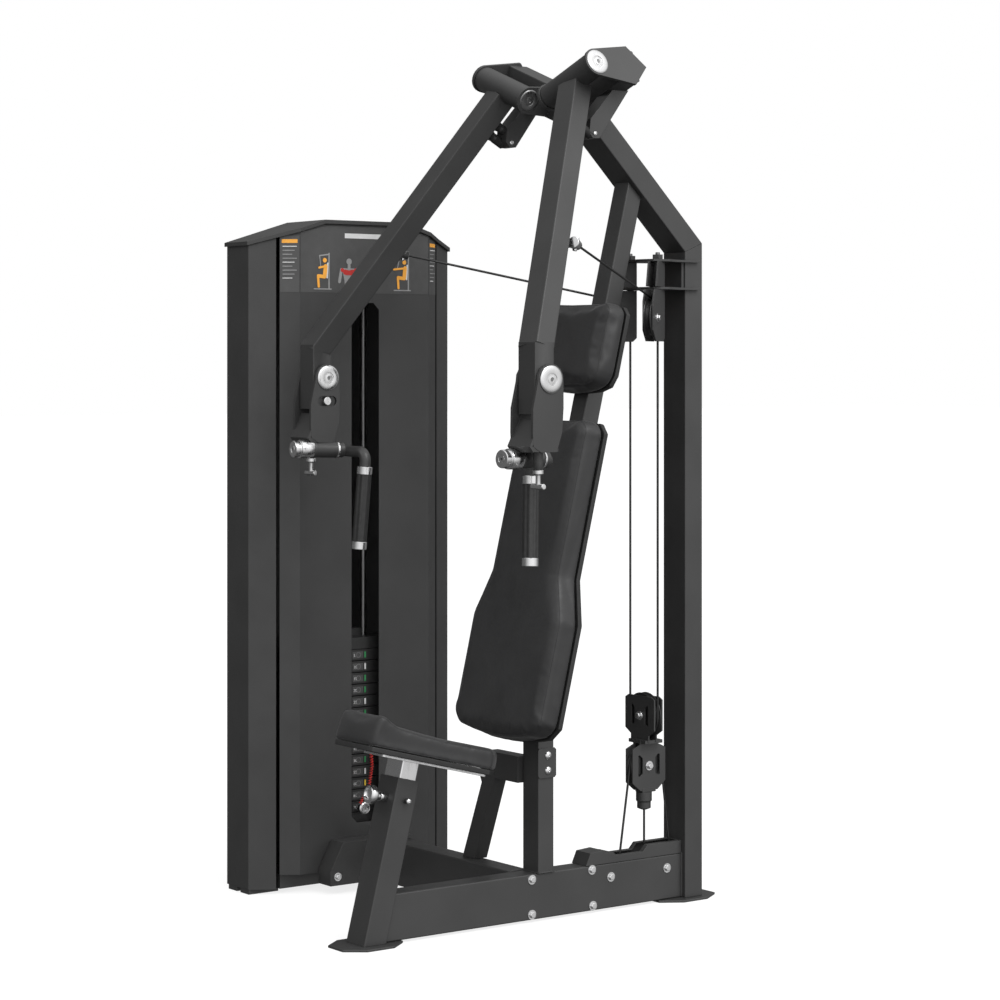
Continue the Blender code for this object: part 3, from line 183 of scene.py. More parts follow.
def hide():
    """Black artificial leather: pebbled grain in small cells, soft creases and a dull sheen."""
    made = Shader("leather", 0.5, 0.0, Sheen_Weight=0.12, Sheen_Roughness=0.4)
    made.vary("Base Color", made.noise(9.0, 5.0), (0.0125, 0.0125, 0.013), (0.02, 0.02, 0.0206))
    made.vary("Roughness", made.noise(35.0, 4.0), 0.44, 0.58)
    made.bump(made.noise(26.0, 4.0), 0.0012, 0.25)
    made.bump(made.cells(620.0), 0.00035, 0.6)
    made.bump(made.noise(2400.0, 2.0), 0.0001, 0.3)
    return made.material


def foam_rubber():
    """The closed-cell rubber of the grips."""
    made = Shader("grip_rubber", 0.48, 0.0)
    made.vary("Base Color", made.noise(90.0, 4.0), grey(0.012), grey(0.022))
    made.bump(made.cells(900.0, "F1"), 0.0001, 0.4)
    return made.material


def backdrop():
    """The white studio floor."""
    made = Shader("studio_floor", 0.9, 0.0, Specular_IOR_Level=0.0, Emission_Color=(1, 1, 1, 1),
                  Emission_Strength=0.8)
    made.vary("Base Color", made.noise(0.6, 2.0), grey(0.26), grey(0.28))
    return made.material


PAINT = powder_coat("frame_paint", 0.03, 0.04, 0.42)
PANEL = powder_coat("panel_paint", 0.027, 0.036, 0.45)
WEIGHT = powder_coat("weight_paint", 0.012, 0.018, 0.48)
LEATHER = hide()
GRIP = foam_rubber()
CHROME = plated("chrome", 0.66, 0.2)
STEEL = plated("dark_steel", 0.22, 0.32)
NYLON = plastic("pulley_nylon", grey(0.01), grey(0.016), 0.38)
BOARD = plastic("pad_board", grey(0.01), grey(0.015), 0.55)
CABLE = plastic("cable_coat", grey(0.008), grey(0.013), 0.35, 1200.0, 0.00003)
RUBBER = plastic("stop_rubber", grey(0.01), grey(0.018), 0.8, 500.0, 0.0002)
WHITE = plastic("white_print", grey(0.62), grey(0.7), 0.45)
ORANGE = plastic("orange_print", (0.82, 0.36, 0.04), (0.88, 0.4, 0.05), 0.45)
RED = plastic("red_print", (0.45, 0.015, 0.012), (0.52, 0.022, 0.018), 0.45)
GREEN = plastic("green_print", (0.02, 0.2, 0.06), (0.03, 0.25, 0.08), 0.45)
YELLOW = plastic("yellow_print", (0.62, 0.42, 0.03), (0.68, 0.47, 0.04), 0.45)
SILVER = plastic("grey_print", grey(0.24), grey(0.3), 0.45)
PLACARD = plastic("placard_film", grey(0.052), grey(0.062), 0.4)
ROD_STEEL = plated("rod_steel", 0.16, 0.3)
OF_SLOT = {
    "frame_paint": PAINT, "panel_paint": PANEL, "leather": LEATHER, "chrome": CHROME, "rubber": GRIP,
    "pulley_plastic": NYLON, "cable": CABLE, "weight": WEIGHT,
}


# ---- mesh helpers
def new_object(name, data):
    made = bpy.data.objects.new(name, data)
    bpy.context.scene.collection.objects.link(made)
    return made


def evaluated_mesh(obj):
    """A new mesh from the object as its modifiers leave it."""
    bpy.context.view_layer.update()
    graph = bpy.context.evaluated_depsgraph_get()
    return bpy.data.meshes.new_from_object(obj.evaluated_get(graph))


def add_piece(name, mesh, material, body, matrix=None, replaces=(), smooth=35.0):
    """A piece that rides on a CAD body and takes its finish from the matching slot."""
    made = new_object(name, mesh)
    if matrix:
        mesh.transform(matrix)
    mesh.materials.clear()
    mesh.materials.append(material)
    if smooth:
        mesh.shade_smooth()
        mesh.set_sharp_from_angle(angle=math.radians(smooth))
    if body:
        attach(made, body)
    if replaces:
        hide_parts(*replaces)
    return made


def mesh_from(work, name):
    """Turns a bmesh into a mesh and frees it."""
    mesh = bpy.data.meshes.new(name)
    bmesh.ops.recalc_face_normals(work, faces=work.faces)
    work.to_mesh(mesh)
    work.free()
    return mesh


def along(direction):
    """The turn that takes Z to this direction."""
    return Vector(direction).to_track_quat("Z", "Y").to_matrix().to_4x4()


def axes_at(origin, u, v):
    """The matrix that takes X and Y to u and v at this origin."""
    u, v = u.normalized(), v.normalized()
    return Matrix.Translation(Vector(origin)) @ Matrix((u, v, u.cross(v))).transposed().to_4x4()


def with_modifiers(obj):
    """Applies the object's modifiers."""
    mesh = evaluated_mesh(obj)
    obj.modifiers.clear()
    obj.data = mesh
    return obj


def rounded_edges(obj, width, segments=2, angle=30.0):
    """Bevels the edges sharper than this angle, and keeps flat faces flat in the shading."""
    bevel = obj.modifiers.new("edges", "BEVEL")
    bevel.width = width
    bevel.segments = segments
    bevel.limit_method = "ANGLE"
    bevel.angle_limit = math.radians(angle)
    with_modifiers(obj)
    obj.data.shade_smooth()
    obj.data.set_sharp_from_angle(angle=math.radians(50))
    flats = obj.modifiers.new("flats", "WEIGHTED_NORMAL")
    flats.keep_sharp = True
    flats.weight = 100
    return with_modifiers(obj)


def lathe(name, profile, origin, axis, material, body, steps=64, replaces=(), closed=False):
    """A turned piece from (radius, height) points along the axis."""
    work = bmesh.new()
    rings = []
    for radius, height in profile:
        if radius < 1e-7:
            rings.append([work.verts.new((0, 0, height))])
            continue
        turn = [2 * math.pi * i / steps for i in range(steps)]
        rings.append([work.verts.new((radius * math.cos(a), radius * math.sin(a), height)) for a in turn])
    pairs = list(zip(rings, rings[1:]))
    if closed:
        pairs.append((rings[-1], rings[0]))
    for first, second in pairs:
        if len(first) == len(second) == 1:
            continue
        for i in range(steps):
            j = (i + 1) % steps
            corners = [first[i % len(first)], first[j % len(first)],
                       second[j % len(second)], second[i % len(second)]]
            work.faces.new(list(dict.fromkeys(corners)))
    matrix = Matrix.Translation(Vector(origin)) @ along(axis)
    return add_piece(name, mesh_from(work, name), material, body, matrix, replaces)


def slab(name, outline, thickness, material, body, origin, u, v, edge=0.0, replaces=()):
    """A flat outline in the u, v plane, standing up by thickness."""
    work = bmesh.new()
    low = [work.verts.new((a, b, 0)) for a, b in outline]
    face = work.faces.new(low)
    raised = bmesh.ops.extrude_face_region(work, geom=[face])["geom"]
    top = [g for g in raised if isinstance(g, bmesh.types.BMVert)]
    bmesh.ops.translate(work, verts=top, vec=(0, 0, thickness))
    made = add_piece(name, mesh_from(work, name), material, body, axes_at(origin, u, v), replaces)
    return rounded_edges(made, edge) if edge else made


def box_outline(width, height, middle=(0, 0)):
    a, b = middle
    return [(a - width / 2, b - height / 2), (a + width / 2, b - height / 2),
            (a + width / 2, b + height / 2), (a - width / 2, b + height / 2)]


def span_outline(a0, a1, b0, b1):
    """A rectangle from its limits."""
    return [(a0, b0), (a1, b0), (a1, b1), (a0, b1)]


def disc_outline(radius, middle, steps):
    return [(middle[0] + radius * math.cos(2 * math.pi * i / steps),
             middle[1] + radius * math.sin(2 * math.pi * i / steps)) for i in range(steps)]


def fluted_outline(inner, outer, flutes, steps=8):
    """A circle whose radius swings from inner to outer and back once for each flute."""
    middle, swing = (outer + inner) / 2, (outer - inner) / 2
    turns = [2 * math.pi * i / (flutes * steps) for i in range(flutes * steps)]
    radii = [middle + swing * math.cos(flutes * a) for a in turns]
    return [(radius * math.cos(a), radius * math.sin(a)) for a, radius in zip(turns, radii)]


def mesh_of_curve(curve):
    holder = new_object(curve.name + "_holder", curve)
    mesh = evaluated_mesh(holder)
    bpy.data.objects.remove(holder)
    return mesh


def raised(base, profile):
    """A turned profile moved along its axis."""
    return [(radius, base + height) for radius, height in profile]


def strand(name, points, radius, material, body, replaces=(), cyclic=False, sides=4):
    curve = bpy.data.curves.new(name, "CURVE")
    curve.dimensions = "3D"
    curve.bevel_depth = radius
    curve.bevel_resolution = sides
    curve.use_fill_caps = True
    spline = curve.splines.new("POLY")
    spline.points.add(len(points) - 1)
    spline.use_cyclic_u = cyclic
    for point, place in zip(spline.points, points):
        point.co = (*place, 1)
    mesh = mesh_of_curve(curve)
    work = bmesh.new()
    work.from_mesh(mesh)
    bmesh.ops.remove_doubles(work, verts=work.verts, dist=1e-6)
    return add_piece(name, mesh_from(work, name), material, body, None, replaces)


def rounded_path(corners, radius, steps=10):
    """The corners of a path, each inner one replaced with an arc of this radius."""
    corners = [Vector(corner) for corner in corners]
    path = [corners[0]]
    for before, corner, after in zip(corners, corners[1:], corners[2:]):
        back, ahead = (before - corner).normalized(), (after - corner).normalized()
        half = back.angle(ahead) / 2
        middle = (back + ahead).normalized()
        centre = corner + middle * radius / math.sin(half)
        reach = radius / math.tan(half)
        first, last = corner + back * reach - centre, corner + ahead * reach - centre
        turn = first.angle(last)
        axis = first.cross(last)
        path += [centre + Matrix.Rotation(turn * i / steps, 3, axis) @ first for i in range(steps + 1)]
    return path + [corners[-1]]


def welded_copy(node):
    """A bmesh of a CAD node with its split corners joined and its flat faces whole."""
    work = bmesh.new()
    work.from_mesh(frame["nodes"][node].data)
    bmesh.ops.remove_doubles(work, verts=work.verts, dist=2e-6)
    bmesh.ops.dissolve_limit(work, angle_limit=math.radians(0.6), verts=work.verts, edges=work.edges)
    return work


def refined(node, edge, material=None):
    """The CAD node's own shape with rounded edges, shown in its place."""
    mesh = mesh_from(welded_copy(node), node)
    made = add_piece(node + "_finish", mesh, material or OF_SLOT[SLOTS[node]], BODIES[node], None, [node])
    return rounded_edges(made, edge)


def everything(work):
    return work.verts[:] + work.edges[:] + work.faces[:]


def middle_of(node):
    low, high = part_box(node)
    return (low + high) / 2


# ---- small hardware
def hexagon(radius):
    return [(radius * math.cos(math.pi * i / 3), radius * math.sin(math.pi * i / 3)) for i in range(6)]


def bolt(name, at, axis, body, radius=0.0085, washer=0.0125, height=0.0055):
    """A plated hex-head bolt on its washer."""
    seat = 0.0018  # thickness of the washer
    lathe(name + "_washer", [(0, seat), (washer - 0.0004, seat), (washer, 0.0012), (washer, 0), (0, 0)],
          at, axis, CHROME, body, 40)
    work = bmesh.new()
    head = [work.verts.new((*p, seat)) for p in hexagon(radius)]
    rim = [work.verts.new((*p, seat + height * 0.8)) for p in hexagon(radius)]
    crown = [work.verts.new((*p, seat + height)) for p in hexagon(radius * 0.84)]
    for low, high in ((head, rim), (rim, crown)):
        for i in range(6):
            j = (i + 1) % 6
            work.faces.new((low[i], low[j], high[j], high[i]))
    work.faces.new(crown)
    work.faces.new(head)
    place = Matrix.Translation(Vector(at)) @ along(axis)
    made = add_piece(name + "_head", mesh_from(work, name), CHROME, body, place)
    return rounded_edges(made, 0.0004, 2, 20.0)


def dome_bolt(name, at, axis, body, radius=0.009, height=0.006):
    """A button-head screw with a hexagonal socket."""
    arc = [(radius * math.cos(a), height * math.sin(a)) for a in (math.radians(d) for d in range(0, 75, 10))]
    profile = [(0, 0), (radius, 0), *arc[1:], (radius * 0.3, height * 0.99), (radius * 0.28, height * 0.5),
               (0, height * 0.5)]
    return lathe(name, profile, at, axis, CHROME, body, 40)


def ringed_cap(radius, top, foot=0.0):
    """Profile of a turned cap: dished centre, two fine grooves and a chamfered rim."""
    return [(0, top - 0.0016), (radius * 0.13, top - 0.0016), (radius * 0.16, top - 0.0005),
            (radius * 0.34, top - 0.0009), (radius * 0.36, top - 0.0019), (radius * 0.42, top - 0.0019),
            (radius * 0.45, top - 0.0006), (radius * 0.66, top), (radius * 0.84, top - 0.0008),
            (radius * 0.94, top - 0.0018), (radius, top - 0.0034), (radius, foot), (0, foot)]


def socket(name, at, axis, body, radius=0.0045):
    """The socket in the middle of a cap, drawn as a thin dark steel hexagon: painted shade for the socket's
    recess, which is not cut.
    """
    axis = Vector(axis).normalized()
    across = axis.orthogonal()
    return slab(name, hexagon(radius), 0.0004, STEEL, body, Vector(at), across, axis.cross(across))


# ---- frame
def frame_and_tubes():
    """The CAD's own plates, tubes and sheets, each with the edge rounding of its kind."""
    for node in ("front_foot_plate", "rear_foot_plate"):
        refined(node, 0.0015)
    for node in ("front_leg", "main_beam", "cross_beam", "column", "boom", "back_post", "seat_post",
                 "seat_brace", "cable_guard", "pulley_bracket", "tower_base"):
        refined(node, 0.0008)
    for side in SIDES:
        refined(side + "_head_bracket", 0.0008)
        refined(side + "_arm", 0.0008)
        refined(side + "_clevis", 0.0008)
        refined(side + "_pulley_swivel", 0.0006)
    refined("block_frame", 0.0006)
    refined("block_swivel", 0.0008)
    for node in ("tower_casing", "tower_shroud", "tower_cap", "tower_foot_cover"):
        refined(node, 0.0007)
    refined("seat_tube", 0.0006)
    refined("guide_rods", 0.0005, ROD_STEEL)


def frame_bolts():
    beam_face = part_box("main_beam")[1].x
    places = [(0.512, 0.108), (0.512, 0.02), (0.704, 0.111), (0.707, 0.019), (0.766, 0.086), (0.953, 0.088)]
    covered = 2  # on the tower's side the cross beam hides the first two
    for i, (y, z) in enumerate(places):
        for side_name, side in SIDES.items():
            if side < 0 and i < covered:
                continue
            bolt(f"beam_bolt_{i}_{side_name}", (side * beam_face, y, z), side * X, "frame")
    plate_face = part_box("seat_post")[1].x
    for i, z in enumerate((0.3785, 0.4165)):
        dome_bolt(f"side_plate_bolt_{i}", (plate_face, 0.558, z), X, "frame", 0.0105, 0.006)
    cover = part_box("tower_foot_cover")
    bolt("cover_bolt", (cover[1].x, cover[0].y + 0.022, 0.046), X, "frame", 0.0075, 0.0115)
    stud = Vector((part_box("front_leg")[1].x, 0.122, 0.345))
    lathe("leg_stud", [(0, 0.014), (0.0055, 0.014), (0.0065, 0.013), (0.0065, 0.0), (0, 0)],
          stud, X, STEEL, "frame", 32)
    dome_bolt("leg_stud_head", stud + 0.0139 * X, X, "frame", 0.0072, 0.004)


def welds():
    """Weld beads where tubes meet."""
    bead = 0.0022
    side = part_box("main_beam")[1].x + 0.001
    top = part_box("main_beam")[1].z
    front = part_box("column")[0].y - 0.0005
    cross_low, cross_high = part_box("cross_beam")
    post, post_front, post_back = 0.033, 0.53, 0.58
    over = top + 0.0008
    runs = {
        "column_weld": [(side, front, 0.008), (side, front, top), (-side, front, top), (-side, front, 0.008)],
        "cross_weld": [(-side, cross_low.y, 0.01), (-side, cross_low.y, top + 0.0002),
                       (-side, cross_high.y, top + 0.0002)],
        "post_weld": [(post, post_front, over), (post, post_back, over), (-post, post_back, over),
                      (-post, post_front, over), (post, post_front, over)],
    }
    for name, corners in runs.items():
        path = []
        for a, b in zip(corners, corners[1:]):
            a, b = Vector(a), Vector(b)
            count = max(2, int((b - a).length / 0.004))
            path += [a.lerp(b, i / count) for i in range(count)]
        path.append(Vector(corners[-1]))
        ripple = [p + Vector((0, 0, 0.0003 * math.sin(i * 2.1))) for i, p in enumerate(path)]
        strand(name, ripple, bead, PAINT, "frame", sides=2)


# ---- head, arms and handles
def pivot_axis(side):
    """Where the press arm's pivot axis starts, and its direction outwards."""
    joint = JOINTS[side + "_press"]
    outward = Vector(joint["axis"])
    if outward.x * SIDES[side] < 0:
        outward = -outward
    return Vector(joint["pos_m"]), outward


def pivots(side):
    centre, outward = pivot_axis(side)
    lathe(side + "_pivot_cap", ringed_cap(0.0315, 0.259, 0.2549), centre, outward, CHROME, "frame",
          replaces=[side + "_pivot_shaft"])
    socket(side + "_pivot_socket_shade", centre + 0.2576 * outward, outward, "frame")
    lathe(side + "_pivot_disc", ringed_cap(0.029, -0.0406, -0.0437), centre, -outward, STEEL, "frame")
    lathe(side + "_pivot_core", [(0, 0.254), (0.012, 0.254), (0.012, 0.045), (0, 0.045)], centre, outward,
          STEEL, "frame", 32)
    lathe(side + "_sleeve",
          [(0.03, 0.0541), (0.0318, 0.0541), (0.0324, 0.0548), (0.0324, 0.2452), (0.0318, 0.2459),
           (0.03, 0.2459)],
          centre, outward, PAINT, side + "_arm_body", closed=True)
    # Two rubber buffers stand side by side on the stop bracket.
    n = SIDES[side]
    for i, way in enumerate((1, -1)):
        shift = Vector((-n * 0.0059, 0.0067, 0.012)) * way
        start, tip = Vector((n * 0.177, 0.539, 2.0065)) + shift, Vector((n * 0.177, 0.5844, 1.9816)) + shift
        top = (start - tip).length
        lathe(f"{side}_stop_rubber_{i}",
          [*raised(top, [(0, 0.0001), (0.009, 0.0001), (0.0115, -0.001), (0.0126, -0.004), (0.0126, -0.012),
                         (0.0098, -0.014), (0.0098, -0.019), (0.0122, -0.021)]), (0.0122, 0), (0, 0)],
              tip, start - tip, RUBBER, "frame", 48)
    dome_bolt(side + "_stop_screw", (n * 0.173 + 0.0219, 0.584, 1.972), X, "frame", 0.0065, 0.004)


def cable_end(side):
    """Where the arm cable leaves its clamp, and where it meets its pulley."""
    clamp = Vector(LEFT_CLAMP)
    clamp.x *= SIDES[side]
    return clamp, Vector(JOINTS[side + "_pulley_spin"]["pos_m"]) + 0.05 * Z


def cable_clamp(side):
    clamp, pulley_top = cable_end(side)
    ahead = (pulley_top - clamp).normalized()
    arm = side + "_arm_body"
    lathe(side + "_cable_clamp",
          [(0, 0.0005), (0.006, 0.0005), (0.0072, -0.0005), (0.0072, -0.007), (0.0105, -0.008),
           (0.0122, -0.0095), (0.0122, -0.019), (0.011, -0.02), (0.011, -0.0215), (0.0142, -0.0225),
           (0.0142, -0.031), (0.013, -0.0325), (0, -0.0325)],
          clamp, ahead, CHROME, arm, 48)
    eye = Vector((SIDES[side] * 0.353, 0.348, 1.69))
    neck = clamp - 0.012 * Y
    lathe(side + "_cable_stub", [(0, 0.03), (0.0105, 0.03), (0.0105, 0.052), (0.0095, 0.0535), (0, 0.0535)],
          neck - 0.07 * (neck - eye).normalized(), neck - eye, PAINT, arm, 48)
    lathe(side + "_clamp_screw",
          [(0, -0.0165), (0.005, -0.0165), (0.0056, -0.0155), (0.0056, 0.015), (0.005, 0.0165),
           (0, 0.0165)],
          clamp - 0.0145 * ahead, ahead.cross(X), CHROME, arm, 32)


def clevis_hardware(side):
    n, arm = SIDES[side], side + "_arm_body"
    pin = Vector(JOINTS[side + "_tilt"]["pos_m"])
    low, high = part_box(side + "_clevis_pin")
    half = (high.x - low.x) / 2
    inner = half - 0.0047
    for i, way in enumerate((1, -1)):
        lathe(f"{side}_clevis_cap_{i}", ringed_cap(0.032, half + 0.0008, inner), pin, way * X, CHROME, arm,
              replaces=[side + "_clevis_pin"] if i == 0 else ())
        socket(f"{side}_clevis_socket_{i}", pin + way * (half - 0.0006) * X, way * X, arm)
    lathe(side + "_clevis_core", [(0, -inner), (0.01, -inner), (0.01, inner), (0, inner)], pin, X,
          STEEL, arm, 32)
    lathe(side + "_slot_pin",
          [(0, 0.0455), (0.0035, 0.0455), (0.004, 0.0464), (0.0095, 0.0464), (0.0109, 0.0452),
           (0.0109, 0.03), (0, 0.03)],
          Vector((n * 0.4725, 0.198, 1.306)), -n * X, CHROME, arm, 40)


def handle(side):
    n = SIDES[side]
    body, bracket = side + "_handle_body", side + "_bracket"
    joint = JOINTS[side + "_handle_turn"]
    face, axis = Vector(joint["pos_m"]), Vector(joint["axis"])
    if axis.y < 0:
        axis = -axis
    rear, collar = -0.053, -0.1213  # the cap's rear end and the ring behind the housing, along -axis
    lathe(side + "_handle_cap",
          [(0, -0.0008), (0.003, -0.0008), (0.0034, 0.0002), (0.0085, 0.0002), (0.009, -0.0008),
           (0.01, -0.0008), (0.0106, 0.0002), (0.0195, 0.0002), (0.0215, -0.0012), (0.0217, -0.01),
           (0.0196, -0.0125), (0.0196, -0.017), (0.0205, -0.018), (0.0235, -0.0185), (0.0241, -0.02),
           (0.0241, rear + 0.001), (0.0235, rear), (0.014, rear)],
          face, -axis, CHROME, body, replaces=[side + "_handle"])
    socket(side + "_handle_socket_shade", face - 0.0001 * axis, -axis, body, 0.003)
    lathe(side + "_handle_journal", [(0.0, -0.05), (0.0141, -0.05), (0.0141, -0.125), (0, -0.125)],
          face, -axis, STEEL, body, 48)
    lathe(side + "_handle_ring",
          raised(collar, [(0.0145, 0), (0.0215, 0), (0.0222, -0.0008), (0.0222, -0.0048), (0.0215, -0.0056),
                          (0.0145, -0.0056)]),
          face, -axis, CHROME, body)
    lathe(side + "_handle_sleeve",
          raised(collar, [(0.0145, -0.0058), (0.02, -0.0058), (0.02, -0.0196), (0.019, -0.0206),
                          (0.0145, -0.0206)]),
          face, -axis, PAINT, body)

    outer, inner = (n * 0.435, 0.259, 1.176), (n * 0.3525, 0.2665, 1.176)
    top, foot = Vector((n * 0.355, 0.264, 1.128)), Vector((n * 0.365, 0.254, 0.938))
    down = (foot - top).normalized()
    route = rounded_path([face + (0.012 - collar) * axis, outer, inner, top + 0.01 * down], 0.024, 12)
    strand(side + "_handle_tube", route, 0.01435, PAINT, body, sides=8)
    length = (foot - top).length
    across = down.cross(Y).normalized()
    slab(side + "_grip_sleeve", fluted_outline(0.017, 0.0192, 8), length - 0.0185, GRIP, body,
         foot - 0.009 * down, across, across.cross(down), replaces=[side + "_grip"])
    lathe(side + "_grip_collar_top",
          [(0.0146, 0.01), (0.0192, 0.01), (0.02, 0.0092), (0.02, -0.0086), (0.0192, -0.0094),
           (0.0146, -0.0094)],
          top, -down, CHROME, body, 56)
    end = -length
    lathe(side + "_grip_collar_foot",
          raised(end, [(0.0, 0.0078), (0.0192, 0.0078), (0.02, 0.007), (0.02, -0.0108), (0.019, -0.012),
                       (0.006, -0.012), (0.0055, -0.011), (0, -0.011)]),
          top, -down, CHROME, body, 56)
    lathe(side + "_housing_ring",
          raised(rear, [(0.0215, -0.001), (0.0222, -0.002), (0.0222, -0.008), (0.0214, -0.0085),
                        (0.0206, -0.0085), (0.0206, -0.001)]),
          face, -axis, PAINT, bracket, 56, closed=True)

    x, y, lock = n * 0.487, 0.185, side + "_lock"
    lathe(side + "_lock_knob",
          [(0, 1.1768), (0.004, 1.1768), (0.0042, 1.1765), (0.0042, 1.1577), (0.0126, 1.1577),
           (0.0132, 1.157), (0.0132, 1.1495), (0.0126, 1.1488), (0.0066, 1.146), (0.006, 1.144),
           (0.006, 1.118), (0, 1.1172)],
          (x, y, 0), Z, CHROME, lock, 48, [side + "_lock_pin"])
    lathe(side + "_lock_bar",
          [(0, -0.0228), (0.0052, -0.0226), (0.0066, -0.021), (0.0066, 0.021), (0.0052, 0.0226),
           (0, 0.0228)],
          (x, y, 1.12), X, CHROME, lock, 40)
    lathe(side + "_lock_barrel",
          [(0.0108, 1.1785), (0.0115, 1.178), (0.0115, 1.16), (0.0108, 1.159), (0.0085, 1.159),
           (0.0085, 1.1785)],
          (x, y, 0), Z, PAINT, bracket, 48, closed=True)


# ---- pulleys and cables
def pulley_profile(radius, axle):
    """A grooved nylon wheel with a recessed web and a raised hub."""
    groove, rim, half = radius - 0.004, radius + FLANGE, WHEEL_HALF
    side = [(0.0065, axle), (0.0066, half), (0.014, half), (0.0155, half - 0.003),
            (rim - 0.014, half - 0.003), (rim - 0.012, half), (rim - 0.0012, half), (rim, half - 0.0012),
            (rim - 0.001, half - 0.003)]
    trough = [(groove + 0.0012, 0.004), (groove, 0.0024), (groove, -0.0024), (groove + 0.0012, -0.004)]
    return [(0, axle), *side, *trough, *[(r, -h) for r, h in reversed(side)], (0, -axle)]


def spin_axis(joint):
    return Vector(JOINTS[joint]["pos_m"]), Vector(JOINTS[joint]["axis"])


def sheave(name, joint, node, axle):
    """A wheel on its axle with a bearing ring on each side."""
    body = BODIES[node]
    centre, axis = spin_axis(joint)
    low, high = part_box(node)
    spans = sorted(high - low)
    # A swivelled pulley's box is wider than the wheel one way, so only its tallest span counts.
    radius = (spans[2] if "upper_pulley" in node else (spans[2] + spans[1]) / 2) / 2 - FLANGE
    lathe(name, pulley_profile(radius, axle), centre, axis, NYLON, body, 72, [node])
    half = WHEEL_HALF
    bearing = [(0.0064, half + 0.0004), (0.0115, half + 0.0004), (0.012, half - 0.0004),
               (0.012, half - 0.002), (0.0064, half - 0.002)]
    for i, way in enumerate((1, -1)):
        lathe(f"{name}_bearing_{i}", bearing, centre, way * axis, STEEL, body, 40, closed=True)


def nuts(name, joint, body, *sizes):
    """A nut on each end of an axle."""
    centre, axis = spin_axis(joint)
    for i, way in enumerate((1, -1)):
        bolt(f"{name}_nut_{i}", centre + way * 0.0147 * axis, way * axis, body, *sizes)


def sheaves():
    for side in SIDES:
        sheave(side + "_pulley_wheel", side + "_pulley_spin", side + "_upper_pulley", 0.0102)
    for level in ("upper", "lower"):
        sheave(level + "_block_wheel", level + "_sheave_spin", level + "_block_pulley", 0.02)
    for end in ("front", "rear"):
        sheave(end + "_base_wheel", end + "_base_sheave_spin", end + "_base_pulley", 0.02)
    for level in ("foot", "top"):
        sheave(level + "_wheel", level + "_sheave_spin", level + "_pulley", 0.0165)
    refined("corner_pulley", 0.0004)
    for level in ("upper", "lower"):
        nuts("block_" + level, level + "_sheave_spin", "block", 0.0088, 0.0125, 0.0075)
    for side in SIDES:
        swivel = side + "_swivel"
        nuts(side + "_fork", side + "_pulley_spin", swivel, 0.008, 0.0115)
        stem = Vector(JOINTS[swivel + "_turn"]["pos_m"])
        stem.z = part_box(side + "_pulley_swivel")[1].z
        lathe(swivel + "_stud", [(0, 0.006), (0.0048, 0.006), (0.0058, 0.005), (0.0058, -0.002), (0, -0.002)],
              stem, Z, STEEL, swivel, 32)


def cable(node, name):
    return add_piece(name, mesh_from(welded_copy(node), name), CABLE, None, None, [node], 60)


def cables():
    for side in SIDES:
        made = cable(side + "_arm_cable", side + "_pull_cable")
        clamp, pulley_top = cable_end(side)
        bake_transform(made)
        cable_clamp(side)
    block = cable("block_cable", "block_run")
    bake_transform(block)
    lift_cable()


def lift_cable():
    """The lift cable in three lengths: round the floating block, up from the stack, and the rest."""
    loop_foot, loop_front = 0.17, 0.7
    hoist_foot, hoist_top = 0.72, 1.56
    stack_at = middle_of("stack_head")

    def length(name, wanted, body=None, replaces=()):
        work = welded_copy("lift_cable")
        for level in (loop_foot, hoist_top):
            bmesh.ops.bisect_plane(work, geom=everything(work), plane_co=(0, 0, level), plane_no=Z)
        unwanted = [face for face in work.faces if not wanted(face.calc_center_median())]
        bmesh.ops.delete(work, geom=unwanted, context="FACES")
        bmesh.ops.holes_fill(work, edges=[edge for edge in work.edges if edge.is_boundary])
        return add_piece(name, mesh_from(work, name), CABLE, body, None, replaces, 60)

    def in_loop(place):
        return place.y > loop_front and place.z > loop_foot

    def in_hoist(place):
        return abs(place.x - stack_at.x) < 0.006 and loop_foot < place.z < hoist_top

    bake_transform(length("lift_loop", in_loop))
    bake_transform(length("lift_hoist", in_hoist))
    length("lift_run", lambda place: not in_loop(place) and not in_hoist(place), "frame", ["lift_cable"])


# ---- pads
def sliced(node, point, normal, keep_behind):
    """The part of a CAD node on one side of a plane."""
    work = welded_copy(node)
    cut = bmesh.ops.bisect_plane(work, geom=everything(work), plane_co=point, plane_no=normal,
                                 clear_outer=keep_behind, clear_inner=not keep_behind)
    edges = [g for g in cut["geom_cut"] if isinstance(g, bmesh.types.BMEdge)]
    bmesh.ops.edgeloop_fill(work, edges=edges)
    return work


def narrowed(obj, normal, distance):
    """Draws a flat board's edges in by this distance, keeping its thickness."""
    low = Vector(min(v.co[i] for v in obj.data.vertices) for i in range(3))
    high = Vector(max(v.co[i] for v in obj.data.vertices) for i in range(3))
    centre = (low + high) / 2
    for axis in (X, normal.cross(X)):
        half = max(abs((v.co - centre).dot(axis)) for v in obj.data.vertices)
        for vertex in obj.data.vertices:
            vertex.co -= (vertex.co - centre).dot(axis) * distance / half * axis


def inset_mesh(obj, distance):
    """Draws the whole surface in by this distance."""
    move = obj.modifiers.new("inset", "DISPLACE")
    move.strength = -distance
    move.mid_level = 0
    return with_modifiers(obj)


